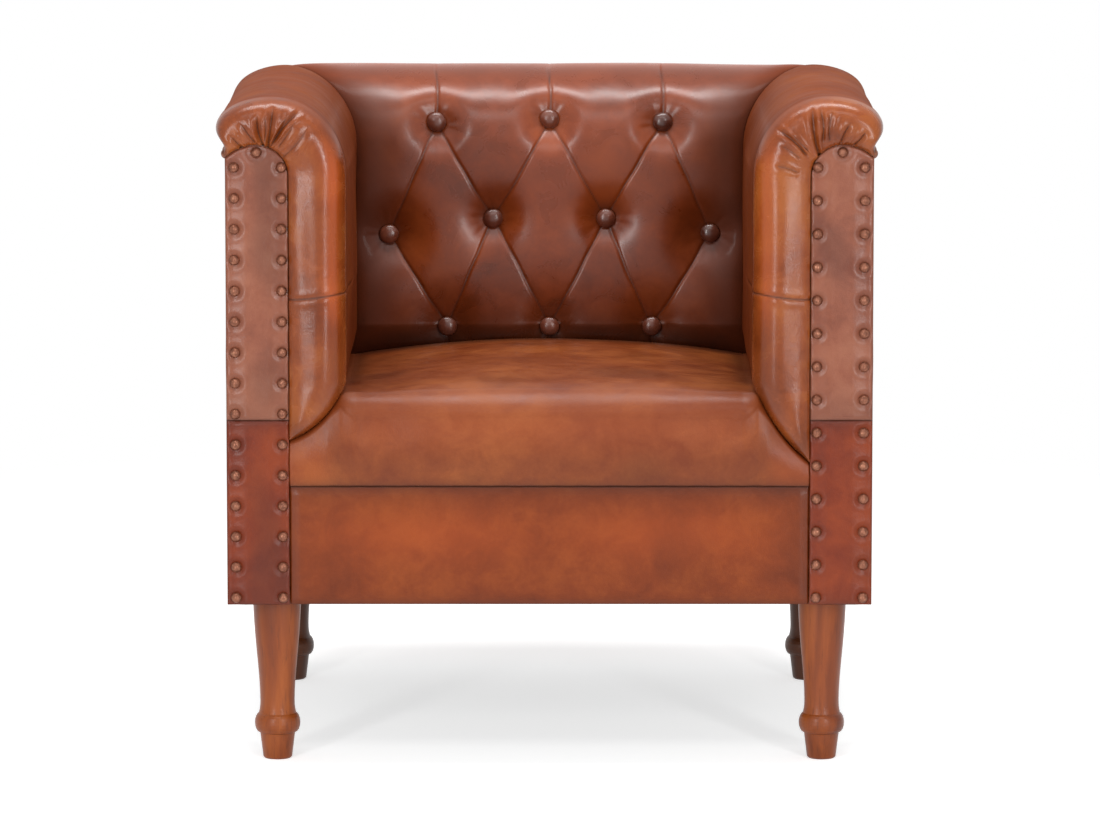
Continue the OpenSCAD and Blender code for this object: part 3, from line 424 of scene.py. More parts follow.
def stuffed(pts, loose, cap, pressure, out=-1):
    """Cloth simulation of a leather sheet pushed out by its padding, from a slightly smaller shape.
    Points move where loose is above 0, square to the sheet, and no farther than cap millimetres."""
    nu, nv = pts.shape[:2]
    rows = np.unique(np.linspace(0, nu - 1, CLOTH_GRID).round().astype(int))
    cols = np.unique(np.linspace(0, nv - 1, CLOTH_GRID).round().astype(int))
    loose = np.broadcast_to(loose, (nu, nv))
    free, first = loose[np.ix_(rows, cols)], pts[np.ix_(rows, cols)]
    n = out * normals(pts)
    square = n[np.ix_(rows, cols)]
    face = first - 0.3 * cap * free[:, :, None] * square
    m, q = len(rows), len(cols)
    verts = np.concatenate([face.reshape(-1, 3), (face - AIR_DEPTH * square).reshape(-1, 3)]) * MM
    idx = np.arange(m * q).reshape(m, q)
    sheet = grid_faces(idx)
    rim = np.concatenate([idx[0, :], idx[1:, -1], idx[-1, -2::-1], idx[-2:0:-1, 0]])
    walls = np.stack([np.roll(rim, -1), rim, rim + m * q, np.roll(rim, -1) + m * q], -1)
    faces = np.concatenate([sheet, (sheet + m * q)[:, ::-1], walls])[:, ::-out]
    me = bpy.data.meshes.new("stuffing")
    me.from_pydata(verts.tolist(), [], faces.tolist())
    obj = linked("stuffing", me)
    group = obj.vertex_groups.new(name="held")
    group.add(list(range(m * q, 2 * m * q)), 1.0, "REPLACE")
    for i, w in enumerate(1 - free.reshape(-1)):
        group.add([i], float(np.clip(w, 0, 1)), "REPLACE")
    cloth = obj.modifiers.new("cloth", "CLOTH")
    c = cloth.settings
    c.quality, c.mass, c.air_damping = 6, 0.3, 4.0
    c.tension_stiffness = c.compression_stiffness = 30
    c.shear_stiffness, c.bending_stiffness, c.pin_stiffness = 12, 4.0, 4.0
    c.use_pressure, c.uniform_pressure_force = True, pressure
    c.effector_weights.gravity = 0
    c.vertex_group_mass = "held"
    cloth.point_cache.frame_start, cloth.point_cache.frame_end = 1, CLOTH_FRAMES
    for f in range(1, CLOTH_FRAMES + 1):
        bpy.context.scene.frame_set(f)
    done = obj.evaluated_get(bpy.context.evaluated_depsgraph_get()).to_mesh()
    co = np.empty(len(done.vertices) * 3, np.float32)
    done.vertices.foreach_get("co", co)
    moved = ((co.reshape(-1, 3)[:m * q].reshape(m, q, 3) / MM - first) * square).sum(2)
    bpy.context.scene.frame_set(1)
    bpy.data.objects.remove(obj)
    bpy.data.meshes.remove(me)
    moved = spread(np.clip(moved, -cap, cap), rows, cols, nu, nv) * np.minimum(1, 3 * loose)
    return pts + n * moved[:, :, None]


# The rolls
def roll_section(p, crest):
    """Section of the padding: distance inwards from the outermost line, and height. p is 0 to 1 on its
    underside, up to 2 on the inner face, 3 on the crest, 4 outside it, and TUCK_P at the end."""
    p = np.asarray(p, float)
    start = math.asin((OVER + FACING_W + GAP - E_LINING) / (E_INSIDE - E_LINING - GAP)) - math.pi / 2
    z_in, z_out = crest - DROP_IN, crest - DROP_OUT
    a = mix(start, 0, p)
    inward = mix(np.cos(a), mix(math.cos(start), 1, p), UNDER_FLAT)
    down = mix(np.sin(a), mix(math.sin(start), 0, p), UNDER_FLAT)
    b = np.radians(90 * (p - 2))
    c = np.radians(90 * (p - 3))
    t = (p - 4) / (TUCK_P - 4)
    e = np.select([p <= 1, p <= 2, p <= 3, p <= 4], [
        E_LINING + GAP + (E_INSIDE - E_LINING - GAP) * inward, E_INSIDE + 0 * p,
        CREST_IN + (E_INSIDE - CREST_IN) * np.cos(b), CREST_IN - CREST_IN * np.sin(c)], OVER * ease(t))
    z = np.select([p <= 1, p <= 2, p <= 3, p <= 4], [
        UNDER_TOP + (UNDER_TOP - UNDER_LOW) * down, mix(UNDER_TOP, z_in, p - 1),
        z_in + (crest - z_in) * np.sin(b), z_out + (crest - z_out) * np.cos(c)], mix(z_out, TUCK_Z, t))
    return e, z


UNDER_E, UNDER_Z = roll_section(np.linspace(1, 0, 80), BACK_H)
UNDER_N = E_INSIDE - UNDER_E


def low_shift(side, n, y):
    """How much higher the underside of an arm lies, n mm outside its inner face."""
    return LOW_SHIFT[side] * np.clip(n / UNDER_N[-1], 0, 1.1) ** 1.1 * ease((-90 - y) / 140)


def facing_edge(p):
    """The edge of the facing where each line of the roll ends: distance inwards, and height."""
    x, r_in, r_out = OVER + FACING_W / 2, FACING_W / 2 + GAP, FACING_R + GAP
    z_in, z_out = FACING_TOP - FACING_W / 2, FACING_TOP - FACING_R
    b = np.radians(90 * (p - 2))
    a = np.maximum((p - 3) / (TUCK_P - 3), 0) ** 1.4 * math.asin(FACING_W / 2 / FACING_R)
    e = np.select([p <= 2, p <= 3], [OVER + FACING_W + GAP + 0 * p, x + r_in * np.cos(b)],
                  x - r_out * np.sin(a))
    z = np.select([p <= 1, p <= 2, p <= 3], [
        mix(UNDER_LOW + 6, UNDER_TOP, p), mix(UNDER_TOP, z_in, p - 1), z_in + r_in * np.sin(b)],
        z_out + r_out * np.cos(a))
    return e, z


def corner_plan(e, angle):
    """Place in plan of a line of the roll, at an angle of the turn round the rear corner."""
    a = np.radians(angle)
    r = ROLL_R - e
    x = np.where(e < ROLL_R - 1, X_BEND + r * np.cos(a), X_ROLL - e)
    y = np.where(e < ROLL_R - 1, Y_BEND + r * np.sin(a), Y_ROLL - e - 5 * (1 - angle / 45))
    return x, y - GAP / 2


# Pleats of the gathered arm fronts, as lines in the front view from the rim down to the facing:
# distance from the middle and height of both ends, depth and width
PLEATS = {
    -1: [(304, 644, 291, 626, 1.6, 2.2), (288, 651, 282, 622, 3.0, 2.4), (272, 658, 277, 622, 3.4, 2.6),
         (246, 655, 273, 624, 2.8, 1.9), (259, 652, 270, 628, 1.3, 1.8), (252, 643, 266, 622, 1.2, 2.0),
         (314, 632, 301, 618, 1.4, 2.0), (280, 650, 280, 628, 1.3, 1.8), (238, 640, 262, 611, 1.0, 2.4)],
    1: [(259, 657, 266, 612, 3.6, 2.2), (225, 637, 252, 614, 2.8, 2.0), (267, 656, 269, 628, 2.2, 1.8),
        (296, 644, 287, 625, 2.2, 2.2), (311, 636, 300, 623, 2.0, 2.2), (278, 654, 276, 628, 1.6, 2.4),
        (240, 632, 254, 618, 1.3, 1.8), (223, 602, 244, 596, 1.1, 2.2), (228, 622, 246, 610, 0.9, 2.0)],
}


def pleat(x, z, x0, z0, x1, z1, width):
    """Share of a pleat's depth at a place in the front view, how far it is on its line, and near it; the last
    two lay a painted dark line in the pleat and painted shade beside it.
    """
    lx, lz = x1 - x0, z1 - z0
    length = math.hypot(lx, lz)
    u = ((x - x0) * lx + (z - z0) * lz) / length ** 2
    bow = 0.06 * length * math.sin(0.3 * x0)
    d = ((x - x0) * lz - (z - z0) * lx) / length - bow * np.sin(np.pi * np.clip(u, 0, 1))
    on = ease((u + 0.12) / 0.4) * ease((1.12 - u) / 0.16)
    w = width * (1.15 - 0.55 * np.clip(u, 0, 1)) * 0.75
    lap = np.where(d > 0, np.exp(-d / (0.55 * w)), np.exp(d / (1.5 * w)))
    return on * (lap - 0.4 * bump(np.abs(d) - 3.0 * w, 1.3 * w)), on * bump(d, 0.5), on * bump(d, 2 * w)


def arm_shape(side, p):
    """The smooth shape of an arm, in lines along it for each p, and columns from the rear corner forwards,
    round its front and in to the facing."""
    eb, zb = roll_section(p, BACK_H)
    es, zs = roll_section(p, ARM_H)
    eq, zq = facing_edge(p)
    span = np.hypot(es - eq, zs - zq)
    r = np.minimum(NOSE_DEPTH, 0.55 * span)
    swell = NOSE_SWELL * ease(span / 30)
    late = np.maximum(0, (p - 4) / (TUCK_P - 4))
    y_nose = mix(Y_FRONT - NOSE_SWELL + NOSE_DEPTH, Y_FRONT + FACING_T, late)
    y_tip, y_end = Y_FRONT - swell, Y_FRONT - 0.4
    ax, az = (eq - es) / span, (zq - zs) / span
    cols = []
    for a in np.linspace(45, 0, 12):
        x, y = corner_plan(eb, a)
        cols.append(np.stack([x, y, zb], 1))
    start = cols[-1]
    nose0 = np.stack([X_ROLL - es, y_nose, zs], 1)
    for u in np.linspace(0, 1, 110)[1:-1]:
        cols.append(mix(start, nose0, u))
    for a in np.radians(np.linspace(0, 90, 30)):
        # round down the inside, and fuller than a circle over the top, so that the front has a rim there
        full = mix(1.0, 0.8, ease((p - 1.7) / 0.7))
        w = r * (1 - np.maximum(math.cos(a), 0) ** full)
        y = mix(y_nose, y_tip, math.sin(a) ** full)
        cols.append(np.stack([X_ROLL - (es + ax * w), y, zs + az * w], 1))
    for f in np.linspace(0, 1, 24)[1:]:
        e, z = mix(es + ax * r, eq, f), mix(zs + az * r, zq, f)
        cols.append(np.stack([X_ROLL - e, mix(y_tip, y_end, f * f), z], 1))
    pts = np.stack(cols, 1)
    under = np.repeat((E_INSIDE - es)[:, None], pts.shape[1], 1) * (p <= 1)[:, None]
    pts[:, :, 2] += low_shift(side, under, pts[:, :, 1])
    return pts


def arm_pad(side):
    """The leather of an arm, from its underside over the roll, and round its front to the facing."""
    p = steps(0, 22, 1, 18, 1.36, 30, 1.52, 20, 2, 280, 4, 14, TUCK_P)
    pts = arm_shape(side, p)
    col = np.arange(pts.shape[1])[None, :]
    P = p[:, None]
    loose = within(P, 0.9, 0.4, 4.2, 0.4) * ease((col - 14) / 24) * ease((118 - col) / 24)
    pts = stuffed(pts, loose, cap=3.0, pressure=4.0)
    n = -normals(pts)
    # distance in mm from the facing's edge back along each line, and across the lines from the first
    step = np.linalg.norm(np.diff(pts, axis=1), axis=2)
    back = np.concatenate([np.cumsum(step[:, ::-1], 1)[:, ::-1], np.zeros((len(p), 1))], 1)
    girth = row_lengths(pts)
    depth = np.zeros(pts.shape[:2])
    seam = np.zeros_like(depth)
    shade_and_burnish = np.zeros_like(depth)
    x, y, z = pts[:, :, 0], pts[:, :, 1], pts[:, :, 2]
    front = ease((Y_FRONT + 30 - y) / 26) * (P > 1.9)
    for x0, z0, x1, z1, deep, width in PLEATS[side]:
        share, line, near = pleat(x, z, x0, z0, x1, z1, width)
        depth += 1.1 * front * deep * share
        # a dark line painted into each pleat, and painted shade beside it
        seam = most(seam, 0.75 * front * line * min(1, deep / 2.0))
        shade_and_burnish = most(shade_and_burnish, 0.22 * front * near)
    # fine gathers close to the facing
    gather = np.sin(P * 46 + 3 * np.sin(P * 9)) * ease((14 - back) / 13)
    gather = gather * within(P, 2.1, 0.2, 4.2, 0.3)
    depth += 0.25 * gather - 1.4 * within(P, 0.3, 0.5, 4.5, 0.4) * ease(back / 6)
    # sewn seam across the pad
    z_seam = PAD_SEAM_Z + 6 * ease(back / 60) - 0.02 * back
    ds = (z - z_seam) * ((P > 0.9) & (P < 2.1)) + 1e3 * ((P <= 0.9) | (P >= 2.1))
    reach = ease((300 - back) / 120)
    depth += reach * (1.1 * bump(ds, 1.1) - 0.5 * bump(ds - 5, 3.5) - 0.4 * bump(ds + 5, 3.5))
    seam = most(seam, 0.8 * reach * bump(ds, 0.8))
    # the crevice where the arm meets the back
    mitre = np.cumsum(np.concatenate([np.zeros((len(p), 1)), step], 1), 1)
    depth += 3.0 * np.exp(-mitre / 7) * ease(P / 0.5) * ease((4.4 - P) / 0.4)
    # slow hollows of hand-stuffed padding, and drag lines down the inner front
    wide = waves(girth, back, 5 + side, 120)
    depth += 1.1 * wide * ease(back / 30) * within(P, 0.4, 0.6, 4.2, 0.8)
    upright = within(P, 0.3, 0.6, 2.5, 0.5)
    depth += upright * bump(back - 20 - 3 * np.sin(z / 52.0 + side), 11)
    depth += upright * 0.5 * waves(back, z / 5, 15 + side, 26) * ease(back / 10) * ease((70 - back) / 20)
    depth += upright * 0.3 * np.sin(z / 6.5 + 2.2 * np.sin(z / 23)) * bump(back - 3, 4)
    pts = pts - n * depth[:, :, None]
    inner = within(P, 0.2, 0.6, 2.6, 0.8)
    along = ease((back - 55) / 130)
    shady = within(P, 0.2, 0.6, 3.0, 0.8) * ease((back - 66) / 20)
    # painted shade: in the crevice by the back, along the underside, on the far part of the inner face and
    # where the roll tucks under outside; random patches of burnish too
    shade_and_burnish = most(shade_and_burnish, 0.85 * np.exp(-mitre / 22) * within(P, 0.1, 0.3, 3.4, 0.8),
                0.5 * bump(P, 0.35) * ease(back / 12), shady * mix(0.6, 0.85, bump(back - 86, 24)),
                0.5 * ease((P - 4.2) / 0.4), 0.25 * ease((waves(girth, back, 9 + side, 90) - 0.25) / 0.6))
    # painted reflected light: the inner face turns orange further back
    warm_and_reflected_light = 0.3 * inner * along * (1 - 0.5 * shade_and_burnish)
    seam = most(seam, 0.4 * bump(back, 0.8))
    seam = most(seam, 0.85 * bump(mitre, 4.0) * ease((3.5 - P) / 0.5) * ease((P - 1.6) / 0.6))
    low = ease((480 - z) / 60)
    # painted reflected light in an orange strip down the pad front, fading low down, and painted shade low on
    # it by the seat
    warm_and_reflected_light = most(warm_and_reflected_light, (0.7 if side < 0 else 0.4) * upright * bump(back - 46, 9) * (1 - 0.6 * low))
    shade_and_burnish = most(shade_and_burnish, 0.4 * upright * low * bump(back - 50, 15))
    # duller, and darkened with painted shade, on the tops and on the shady inner face
    dull_and_shade = most(ease((P - 2.1) / 0.4) * ease((back - 42) / 34), shady)
    return pts, dict(shade_and_burnish=shade_and_burnish, warm_and_reflected_light=warm_and_reflected_light, seam=seam, dull_and_shade=dull_and_shade)


for side, tag in SIDES:
    pts, fields = arm_pad(side)
    pad = sided_object("arm_pad_" + tag, side, pts, fields)
    finish_piece(pad, ARM, ["arm_cover_" + tag, "arm_foam_" + tag])


# The buttoned back
ROWS = [[(-118, 597), (0, 600), (118, 597)], [(-168, 479), (-59, 496), (59, 496), (168, 480)],
        [(-107, 382), (0, 382), (107, 382)]]
# Places of the buttons and how deep they are drawn in, and the folds between neighbours
DRAWN = {x: 1.25 if abs(x) > 100 else 0.95 for x, z in ROWS[1]}
BUTTONS = [(x, z, DRAWN[x] if row is ROWS[1] else 1.0) for row in ROWS for x, z in row]
FOLDS = [(ROWS[0][k // 2], ROWS[1][(k + 1) // 2]) for k in range(6)] + \
        [(ROWS[1][(k + 1) // 2], ROWS[2][k // 2]) for k in range(6)]


def tufts(x, v):
    """Depth of the buttoning at a place on the back, how far it is on a fold, where a dark line is painted as
    shade in the crease, and the painted shade in the socket round each button.
    """
    depth, line, pocket_shade = np.zeros_like(x), np.zeros_like(x), np.zeros_like(x)
    for i, (a, b) in enumerate(FOLDS):
        ax, az, bx, bz = *a, *b
        lx, lz = bx - ax, bz - az
        length = math.hypot(lx, lz)
        u = ((x - ax) * lx + (v - az) * lz) / length ** 2
        bow = 1.2 * math.sin(i * 2.1) + 0.35 * np.sin(v / 7.0 + 2 * i)
        d = np.abs(((x - ax) * lz - (v - az) * lx) / length - bow * np.sin(np.pi * np.clip(u, 0, 1)))
        on = ease(u * 14) * ease((1 - u) * 14)
        # the lower folds from the outermost buttons are deeper
        strong = 1.5 if abs(ax) > 150 and i > 5 else 1.0
        mid = 1 - 0.55 * np.sin(np.pi * np.clip(u, 0, 1))
        depth = most(depth, on * strong * (2.1 * mid * np.exp(-d / 10) + 1.4 * bump(d, 1.1)))
        # a dark line painted along the fold, as shade in its crease
        line = most(line, on * (0.66 * bump(d, 0.65)))
    for x0, z0 in ROWS[0]:
        d, up = np.abs(x - x0 - 1.2 * np.sin(v / 16)), v - z0
        on = ease(up / 6) * ease((118 - up) / 40)
        slack = mix(1, 0.45, ease(up / 60))
        depth = most(depth, on * (2.4 * slack * np.exp(-d / 10) + 1.4 * bump(d, 1.2)))
        # and a painted dark line along the folds above the upper buttons
        line = most(line, on * 0.7 * bump(d, 0.75) * ease((84 - up) / 20))
    for x0, z0 in ROWS[2]:
        d, down = np.abs(x - x0), z0 - v
        on = ease(down / 6)
        depth = most(depth, on * (2.2 * np.exp(-d / 11) + 1.2 * bump(d, 1.3)))
    for k, (x0, z0, s) in enumerate(BUTTONS):
        dx, dz = x - x0, v - z0
        r = np.hypot(dx, dz)
        a = np.arctan2(dz, dx)
        rays = 0.5 * np.sin(a * 9 + k) + 0.4 * np.sin(a * 14 + 2.3 * k)
        dimple = SOCKET * s * np.exp(-(r / (22 * s)) ** 1.7)
        if k < len(ROWS[0]):
            # the socket of the upper row has a full rim
            dimple -= 1.9 * bump(r - 36, 17) * (1 - 0.7 * bump(a - math.pi / 2, 0.6))
        depth = depth * (1 - 0.55 * bump(r, 12)) + dimple + 0.25 * rays * bump(r - 19, 8)
        # painted shade in the socket, centred a little above the button
        pocket_shade = most(pocket_shade, 0.6 * bump(np.hypot(dx, dz - 3), 14 * s))
    return depth, line, pocket_shade


def back_pad():
    """The buttoned leather of the back, from below the seat over the roll, between the arms' mitres."""
    p = steps(0, 26, 1, 104, 2, 64, 3, 40, 4, 12, TUCK_P)
    e, z = roll_section(p, BACK_H)
    v = np.concatenate([[0], np.cumsum(np.hypot(np.diff(e), np.diff(z)))])
    v = v - np.interp(1, p, v) + UNDER_TOP
    u = np.linspace(-1, 1, 293)
    U, E = np.meshgrid(u, e)
    Z, V = np.repeat(z[:, None], len(u), 1), np.repeat(v[:, None], len(u), 1)
    half = np.where(E >= ROLL_R, X_ROLL - E, X_BEND + (ROLL_R - E) * math.pi / 4)
    s = U * half
    r = np.maximum(ROLL_R - E, 0.01)
    phi = np.clip((np.abs(s) - X_BEND) / r, 0, math.pi / 4) * (E < ROLL_R)
    bent = (np.abs(s) > X_BEND) & (E < ROLL_R)
    X = np.where(bent, np.sign(s) * (X_BEND + r * np.sin(phi)), s)
    Y = np.where(bent, Y_BEND + r * np.cos(phi), Y_ROLL - E)
    pts = np.stack([X, Y, Z], 2)
    side = half - np.abs(s)
    P = p[:, None]
    loose = within(P, 0.2, 0.5, 4.2, 0.4) * ease(side / 40)
    for x0, z0, _ in BUTTONS:
        loose = loose * (1 - 0.9 * bump(np.hypot(s - x0, V - z0), 26))
    pts = stuffed(pts, loose, cap=3.0, pressure=8.0)
    n = -normals(pts)
    depth, line, pocket_shade = tufts(s, V)
    depth += 3.0 * np.exp(-side / 8) * within(P, 0.1, 0.5, 4.4, 0.4)
    depth += 0.9 * waves(s, V, 21, 110) * ease(side / 40)
    depth *= ease((4.55 - P) / 0.5)
    pts = pts - n * depth[:, :, None]
    # painted shade: in the button sockets, towards the corners by the arms, in the folds, low down by the
    # seat and towards the lower sides; also a darker band near the crest
    shade_and_burnish = most(pocket_shade, 0.95 * np.exp(-(side / 42) ** 1.6) * ease((3.0 - P) / 0.8), 0.3 * line,
                0.85 * ease((418 - V) / 60) * ease(2.4 - P), 0.4 * bump(V - 672, 20),
                0.3 * ease((510 - V) / 130) * ease(np.abs(s) / 160))
    # painted light: an orange band along the crest, as the lit top of the roll; and a faint warmer patch in
    # the middle
    warm_and_reflected_light = 0.55 * bump(P - 3.05, 0.35) + 0.12 * bump(V - 560, 60) * bump(s, 130)
    line = most(line, 0.85 * bump(side, 4.0) * ease((3.5 - P) / 0.5) * ease((P - 1.6) / 0.6))
    # duller, and darkened with painted shade, over the crest and by the sides
    dull_and_shade = most(0.8 * ease((P - 3.0) / 0.4), 0.85 * bump(side, 32))
    return pts, dict(shade_and_burnish=shade_and_burnish, warm_and_reflected_light=warm_and_reflected_light, seam=line, dull_and_shade=dull_and_shade)


pts, fields = back_pad()
back = grid_object("back_pad", pts, fields)
finish_piece(back, BACK, ["inside_back_cover", "back_foam"])


def button_outline():
    """Radius and height of a covered button's dome, its edge and its underside."""
    r = np.concatenate([[0.02], np.linspace(0.8, BUTTON_R, 14)])
    h = 6.8 * np.sqrt(np.maximum(0, 1 - (r / 10.6) ** 2.2))
    return np.array([(a, b) for a, b in zip(r, h)] + [(10.0, 1.2), (9.7, -0.8), (6, -2.2), (0.02, -2.6)])


def join_grids(name, parts):
    """Several round grids, each closed on itself, as one object."""
    verts, faces, base = [], [], 0
    for g in parts:
        nu, nv = g.shape[:2]
        idx = base + np.arange(nu * nv).reshape(nu, nv)
        idx = np.concatenate([idx, idx[:, :1]], 1)
        faces.append(np.stack([idx[:-1, :-1], idx[1:, :-1], idx[1:, 1:], idx[:-1, 1:]], -1).reshape(-1, 4))
        verts.append(g.reshape(-1, 3))
        base += nu * nv
    me = bpy.data.meshes.new(name)
    me.from_pydata((np.concatenate(verts) * MM).tolist(), [], np.concatenate(faces).tolist())
    me.polygons.foreach_set("use_smooth", np.ones(len(me.polygons), bool))
    me.update()
    return linked(name, me)


def back_face_y(z):
    """Depth of the unbuttoned face of the back at a height."""
    t = max(0, (z - BACK_H) / DROP_IN + 1)
    return Y_ROLL - CREST_IN - (E_INSIDE - CREST_IN) * math.sqrt(1 - t ** 2)


made = []
outline = button_outline()
around = np.linspace(0, 2 * math.pi, 40, endpoint=False)
for k, (x0, z0, s) in enumerate(BUTTONS):
    rng = np.random.default_rng(k)
    wobble = 0.02 * np.sin(2 * around + rng.uniform(0, 6)) + 0.012 * np.sin(5 * around + rng.uniform(0, 6))
    rad = outline[:, :1] * (1 + wobble)
    y = back_face_y(max(z0, UNDER_TOP)) + SOCKET * s - DRAWN_IN
    depths = np.repeat(y - outline[:, 1:], len(around), 1)
    made.append(np.stack([x0 + rad * np.cos(around), depths, z0 + rad * np.sin(around)], 2))
buttons = join_grids("covered_buttons", made)
finish_piece(buttons, BUTTON, ["back_buttons"])


# The seat
def seat_height(x, y):
    """Height of the free top of the seat, and of the undersides of arms and back over it."""
    t = np.maximum(0, (y - Y_FRONT) / (Y_IN - Y_FRONT))
    side = np.minimum(1, np.abs(x) / X_IN) ** 2
    top = SEAT_H - FALL * t + CROWN * (1 - side) * (0.25 + 0.75 * ease(t * 2.5))
    top -= CROWN * side * 0.8 * ease(t)
    dx, dy = np.maximum(0, np.abs(x) - X_IN), np.maximum(0, y - Y_IN)
    n = (dx ** 8 + dy ** 8) ** 0.125
    roof = np.interp(n, UNDER_N, UNDER_Z) - 0.7 * np.maximum(0, n - UNDER_N[-1])
    roof = roof + np.where(x < 0, low_shift(-1, n, y), low_shift(1, n, y)) + 1.0
    return top, np.where(n <= 0, 1e3, roof)


def seat_shape():
    """The smooth shape of the seat, in rows from the rear forwards and down, and where its front starts."""
    xs = steps(0, 84, 190, 16, 208, 36, SEAT_X)
    xs = np.concatenate([-xs[:0:-1], xs])
    ys = steps(SEAT_REAR, 14, Y_IN, 150, Y_SEAT + LIP_R)[:-1]
    lip, face = np.radians(np.linspace(0, 90, 26)), np.linspace(0, 1, 32)[1:]
    X = np.repeat(xs[None, :], len(ys) + len(lip) + len(face), 0)
    rows_y, rows_z = [], []

    def level(x, y):
        top, roof = seat_height(x, y)
        d = roof - top
        return np.where(roof > 500, top, top + np.minimum(0, d) - 1.6 * np.exp(-np.abs(d) / 3))

    for y in ys:
        rows_y.append(np.full(len(xs), y))
        rows_z.append(level(xs, np.full(len(xs), y)))
    lip_r = mix(LIP_R, SIDE_R, ease((np.abs(xs) - 190) / 30))
    y_lip = Y_SEAT + lip_r
    z_lip = level(xs, y_lip)
    soft = np.minimum(1, 0.9 * (z_lip - SEAM_Z) / lip_r)
    for a in lip:
        rows_y.append(y_lip - lip_r * math.sin(a))
        rows_z.append(z_lip - lip_r * soft * (1 - math.cos(a)))
    z_face = z_lip - lip_r * soft
    for f in face:
        swell = SEAT_SWELL * np.clip((z_face - SEAM_Z) / 68, 0, 1)
        rows_y.append(Y_SEAT - swell * math.sin(math.pi * f))
        rows_z.append(mix(z_face, SEAM_Z + GAP, f))
    return np.stack([X, np.array(rows_y), np.array(rows_z)], 2), z_face


def seat_pad():
    """The leather of the seat: its top, in under the arms and the back, its lip and its front."""
    pts, z_face = seat_shape()
    row = np.arange(len(pts))[:, None]
    loose = ease((190 - np.abs(pts[:, :, 0])) / 60) * ease((row - 14) / 30)
    loose = loose * ease((len(pts) - 2 - row) / 14)
    pts = stuffed(pts, loose, cap=4.0, pressure=8.0, out=1)
    n = normals(pts)
    x, y = pts[:, :, 0], pts[:, :, 1]
    girth = row_lengths(pts)
    low = girth[-1:, :] - girth
    depth = waves(x, girth, 31, 130) * ease(low / 30) * ease((SEAT_X - np.abs(x)) / 30)
    depth += 0.35 * waves(x, girth, 35, 45) * ease(low / 20) * ease((160 - low) / 60)
    # puckers where the cover is drawn into the seam
    depth += 0.35 * np.sin(x / 5.2 + 2 * np.sin(x / 31)) * bump(low - 4, 8) * ease((240 - np.abs(x)) / 30)
    pts = pts - n * depth[:, :, None]
    # less sheen on the lip, and on the strip that turns in under the arms, which is also darkened with
    # painted shade
    over = low - (z_face - SEAM_Z)[None, :]
    turned = ease((np.abs(x) - 196) / 14) * ease((over + 2) / 5)
    # painted shade: at the seam under the front, at the rear under the back, at the sides under the arms and
    # on the turned strip, and a little across the lip; random burnish too
    shade_and_burnish = most(0.55 * np.exp(-low / 4.5), 0.06 * bump(low - 22, 12), 0.8 * ease((y - 118) / 45),
                0.55 * ease((np.abs(x) - 178) / 22) * ease((y + 215) / 60), 0.4 * turned,
                0.28 * ease((waves(x, girth, 37, 100) - 0.1) / 0.7), 0.16 * bump(over - 14, 22))
    pale = 0.25 * ease((np.abs(x) - 205) / 30) * bump(low - 24, 26)
    warm_and_reflected_light = most(0.2 * bump(low - 66, 36) * ease((230 - np.abs(x)) / 60), pale)
    seam = 0.6 * bump(low, 1.0)
    dull_and_shade = most(0.12 * bump(over - 16, 18), turned)
    return pts, dict(shade_and_burnish=shade_and_burnish, warm_and_reflected_light=warm_and_reflected_light, seam=seam, dull_and_shade=dull_and_shade)


pts, fields = seat_pad()
seat = grid_object("seat_pad", pts, fields, flip=True)
finish_piece(seat, SEAT, ["seat_cover", "seat_foam"])


# The apron
def apron():
    """The leather below the seat, between the facings."""
    x = np.linspace(-X_FACING + GAP, X_FACING - GAP, 220)
    z = steps(SEAM_Z, 9, SEAM_Z - 8, 60, BODY_Z + 6, 8, BODY_Z)
    X, Z = np.meshgrid(x, z)
    h, up = SEAM_Z - Z, Z - BODY_Z
    edge = X_FACING - np.abs(X)
    out = 1.8 * ease(h / 9) * ease(up / 5) * ease(edge / 10)
    out += 0.7 * waves(X, Z, 41, 110) * ease(h / 20) * ease(up / 20)
    Y = Y_SEAT + 0.4 - out
    # painted shade under the seat's overhang, along the bottom and by the facings; random burnish too
    shade_and_burnish = most(0.6 * np.exp(-h / 8), 0.5 * np.exp(-up / 6), 0.3 * np.exp(-edge / 7),
                0.12 * ease((waves(X, Z, 44, 90) - 0.15) / 0.7),
                0.22 * ease((14 - up) / 12) * bump(X + 60, 130))
    warm_and_reflected_light = 0.35 * bump(up - 70, 26) * bump(np.abs(X) - 120, 110)
    return np.stack([X, Y, Z], 2), dict(shade_and_burnish=shade_and_burnish, warm_and_reflected_light=warm_and_reflected_light, seam=0.5 * bump(h, 0.9))


pts, fields = apron()
panel = grid_object("apron", pts, fields, flip=True)
finish_piece(panel, APRON, ["apron_cover"])


# The front facings, with the number of nails down each edge
NAILS = {-1: 15, 1: 14}


def nail_spots(side):
    """Places of the nails in the front view."""
    n = NAILS[side]
    zs = [BODY_Z + 7 + i * (FACING_TOP - 22 - BODY_Z - 7) / (n - 1) for i in range(n)]
    crown = (X_SIDE - FACING_W / 2, FACING_TOP - 7)
    return [(x, z) for z in zs for x in (X_SIDE - 9, X_FACING + 6.5)] + [crown]


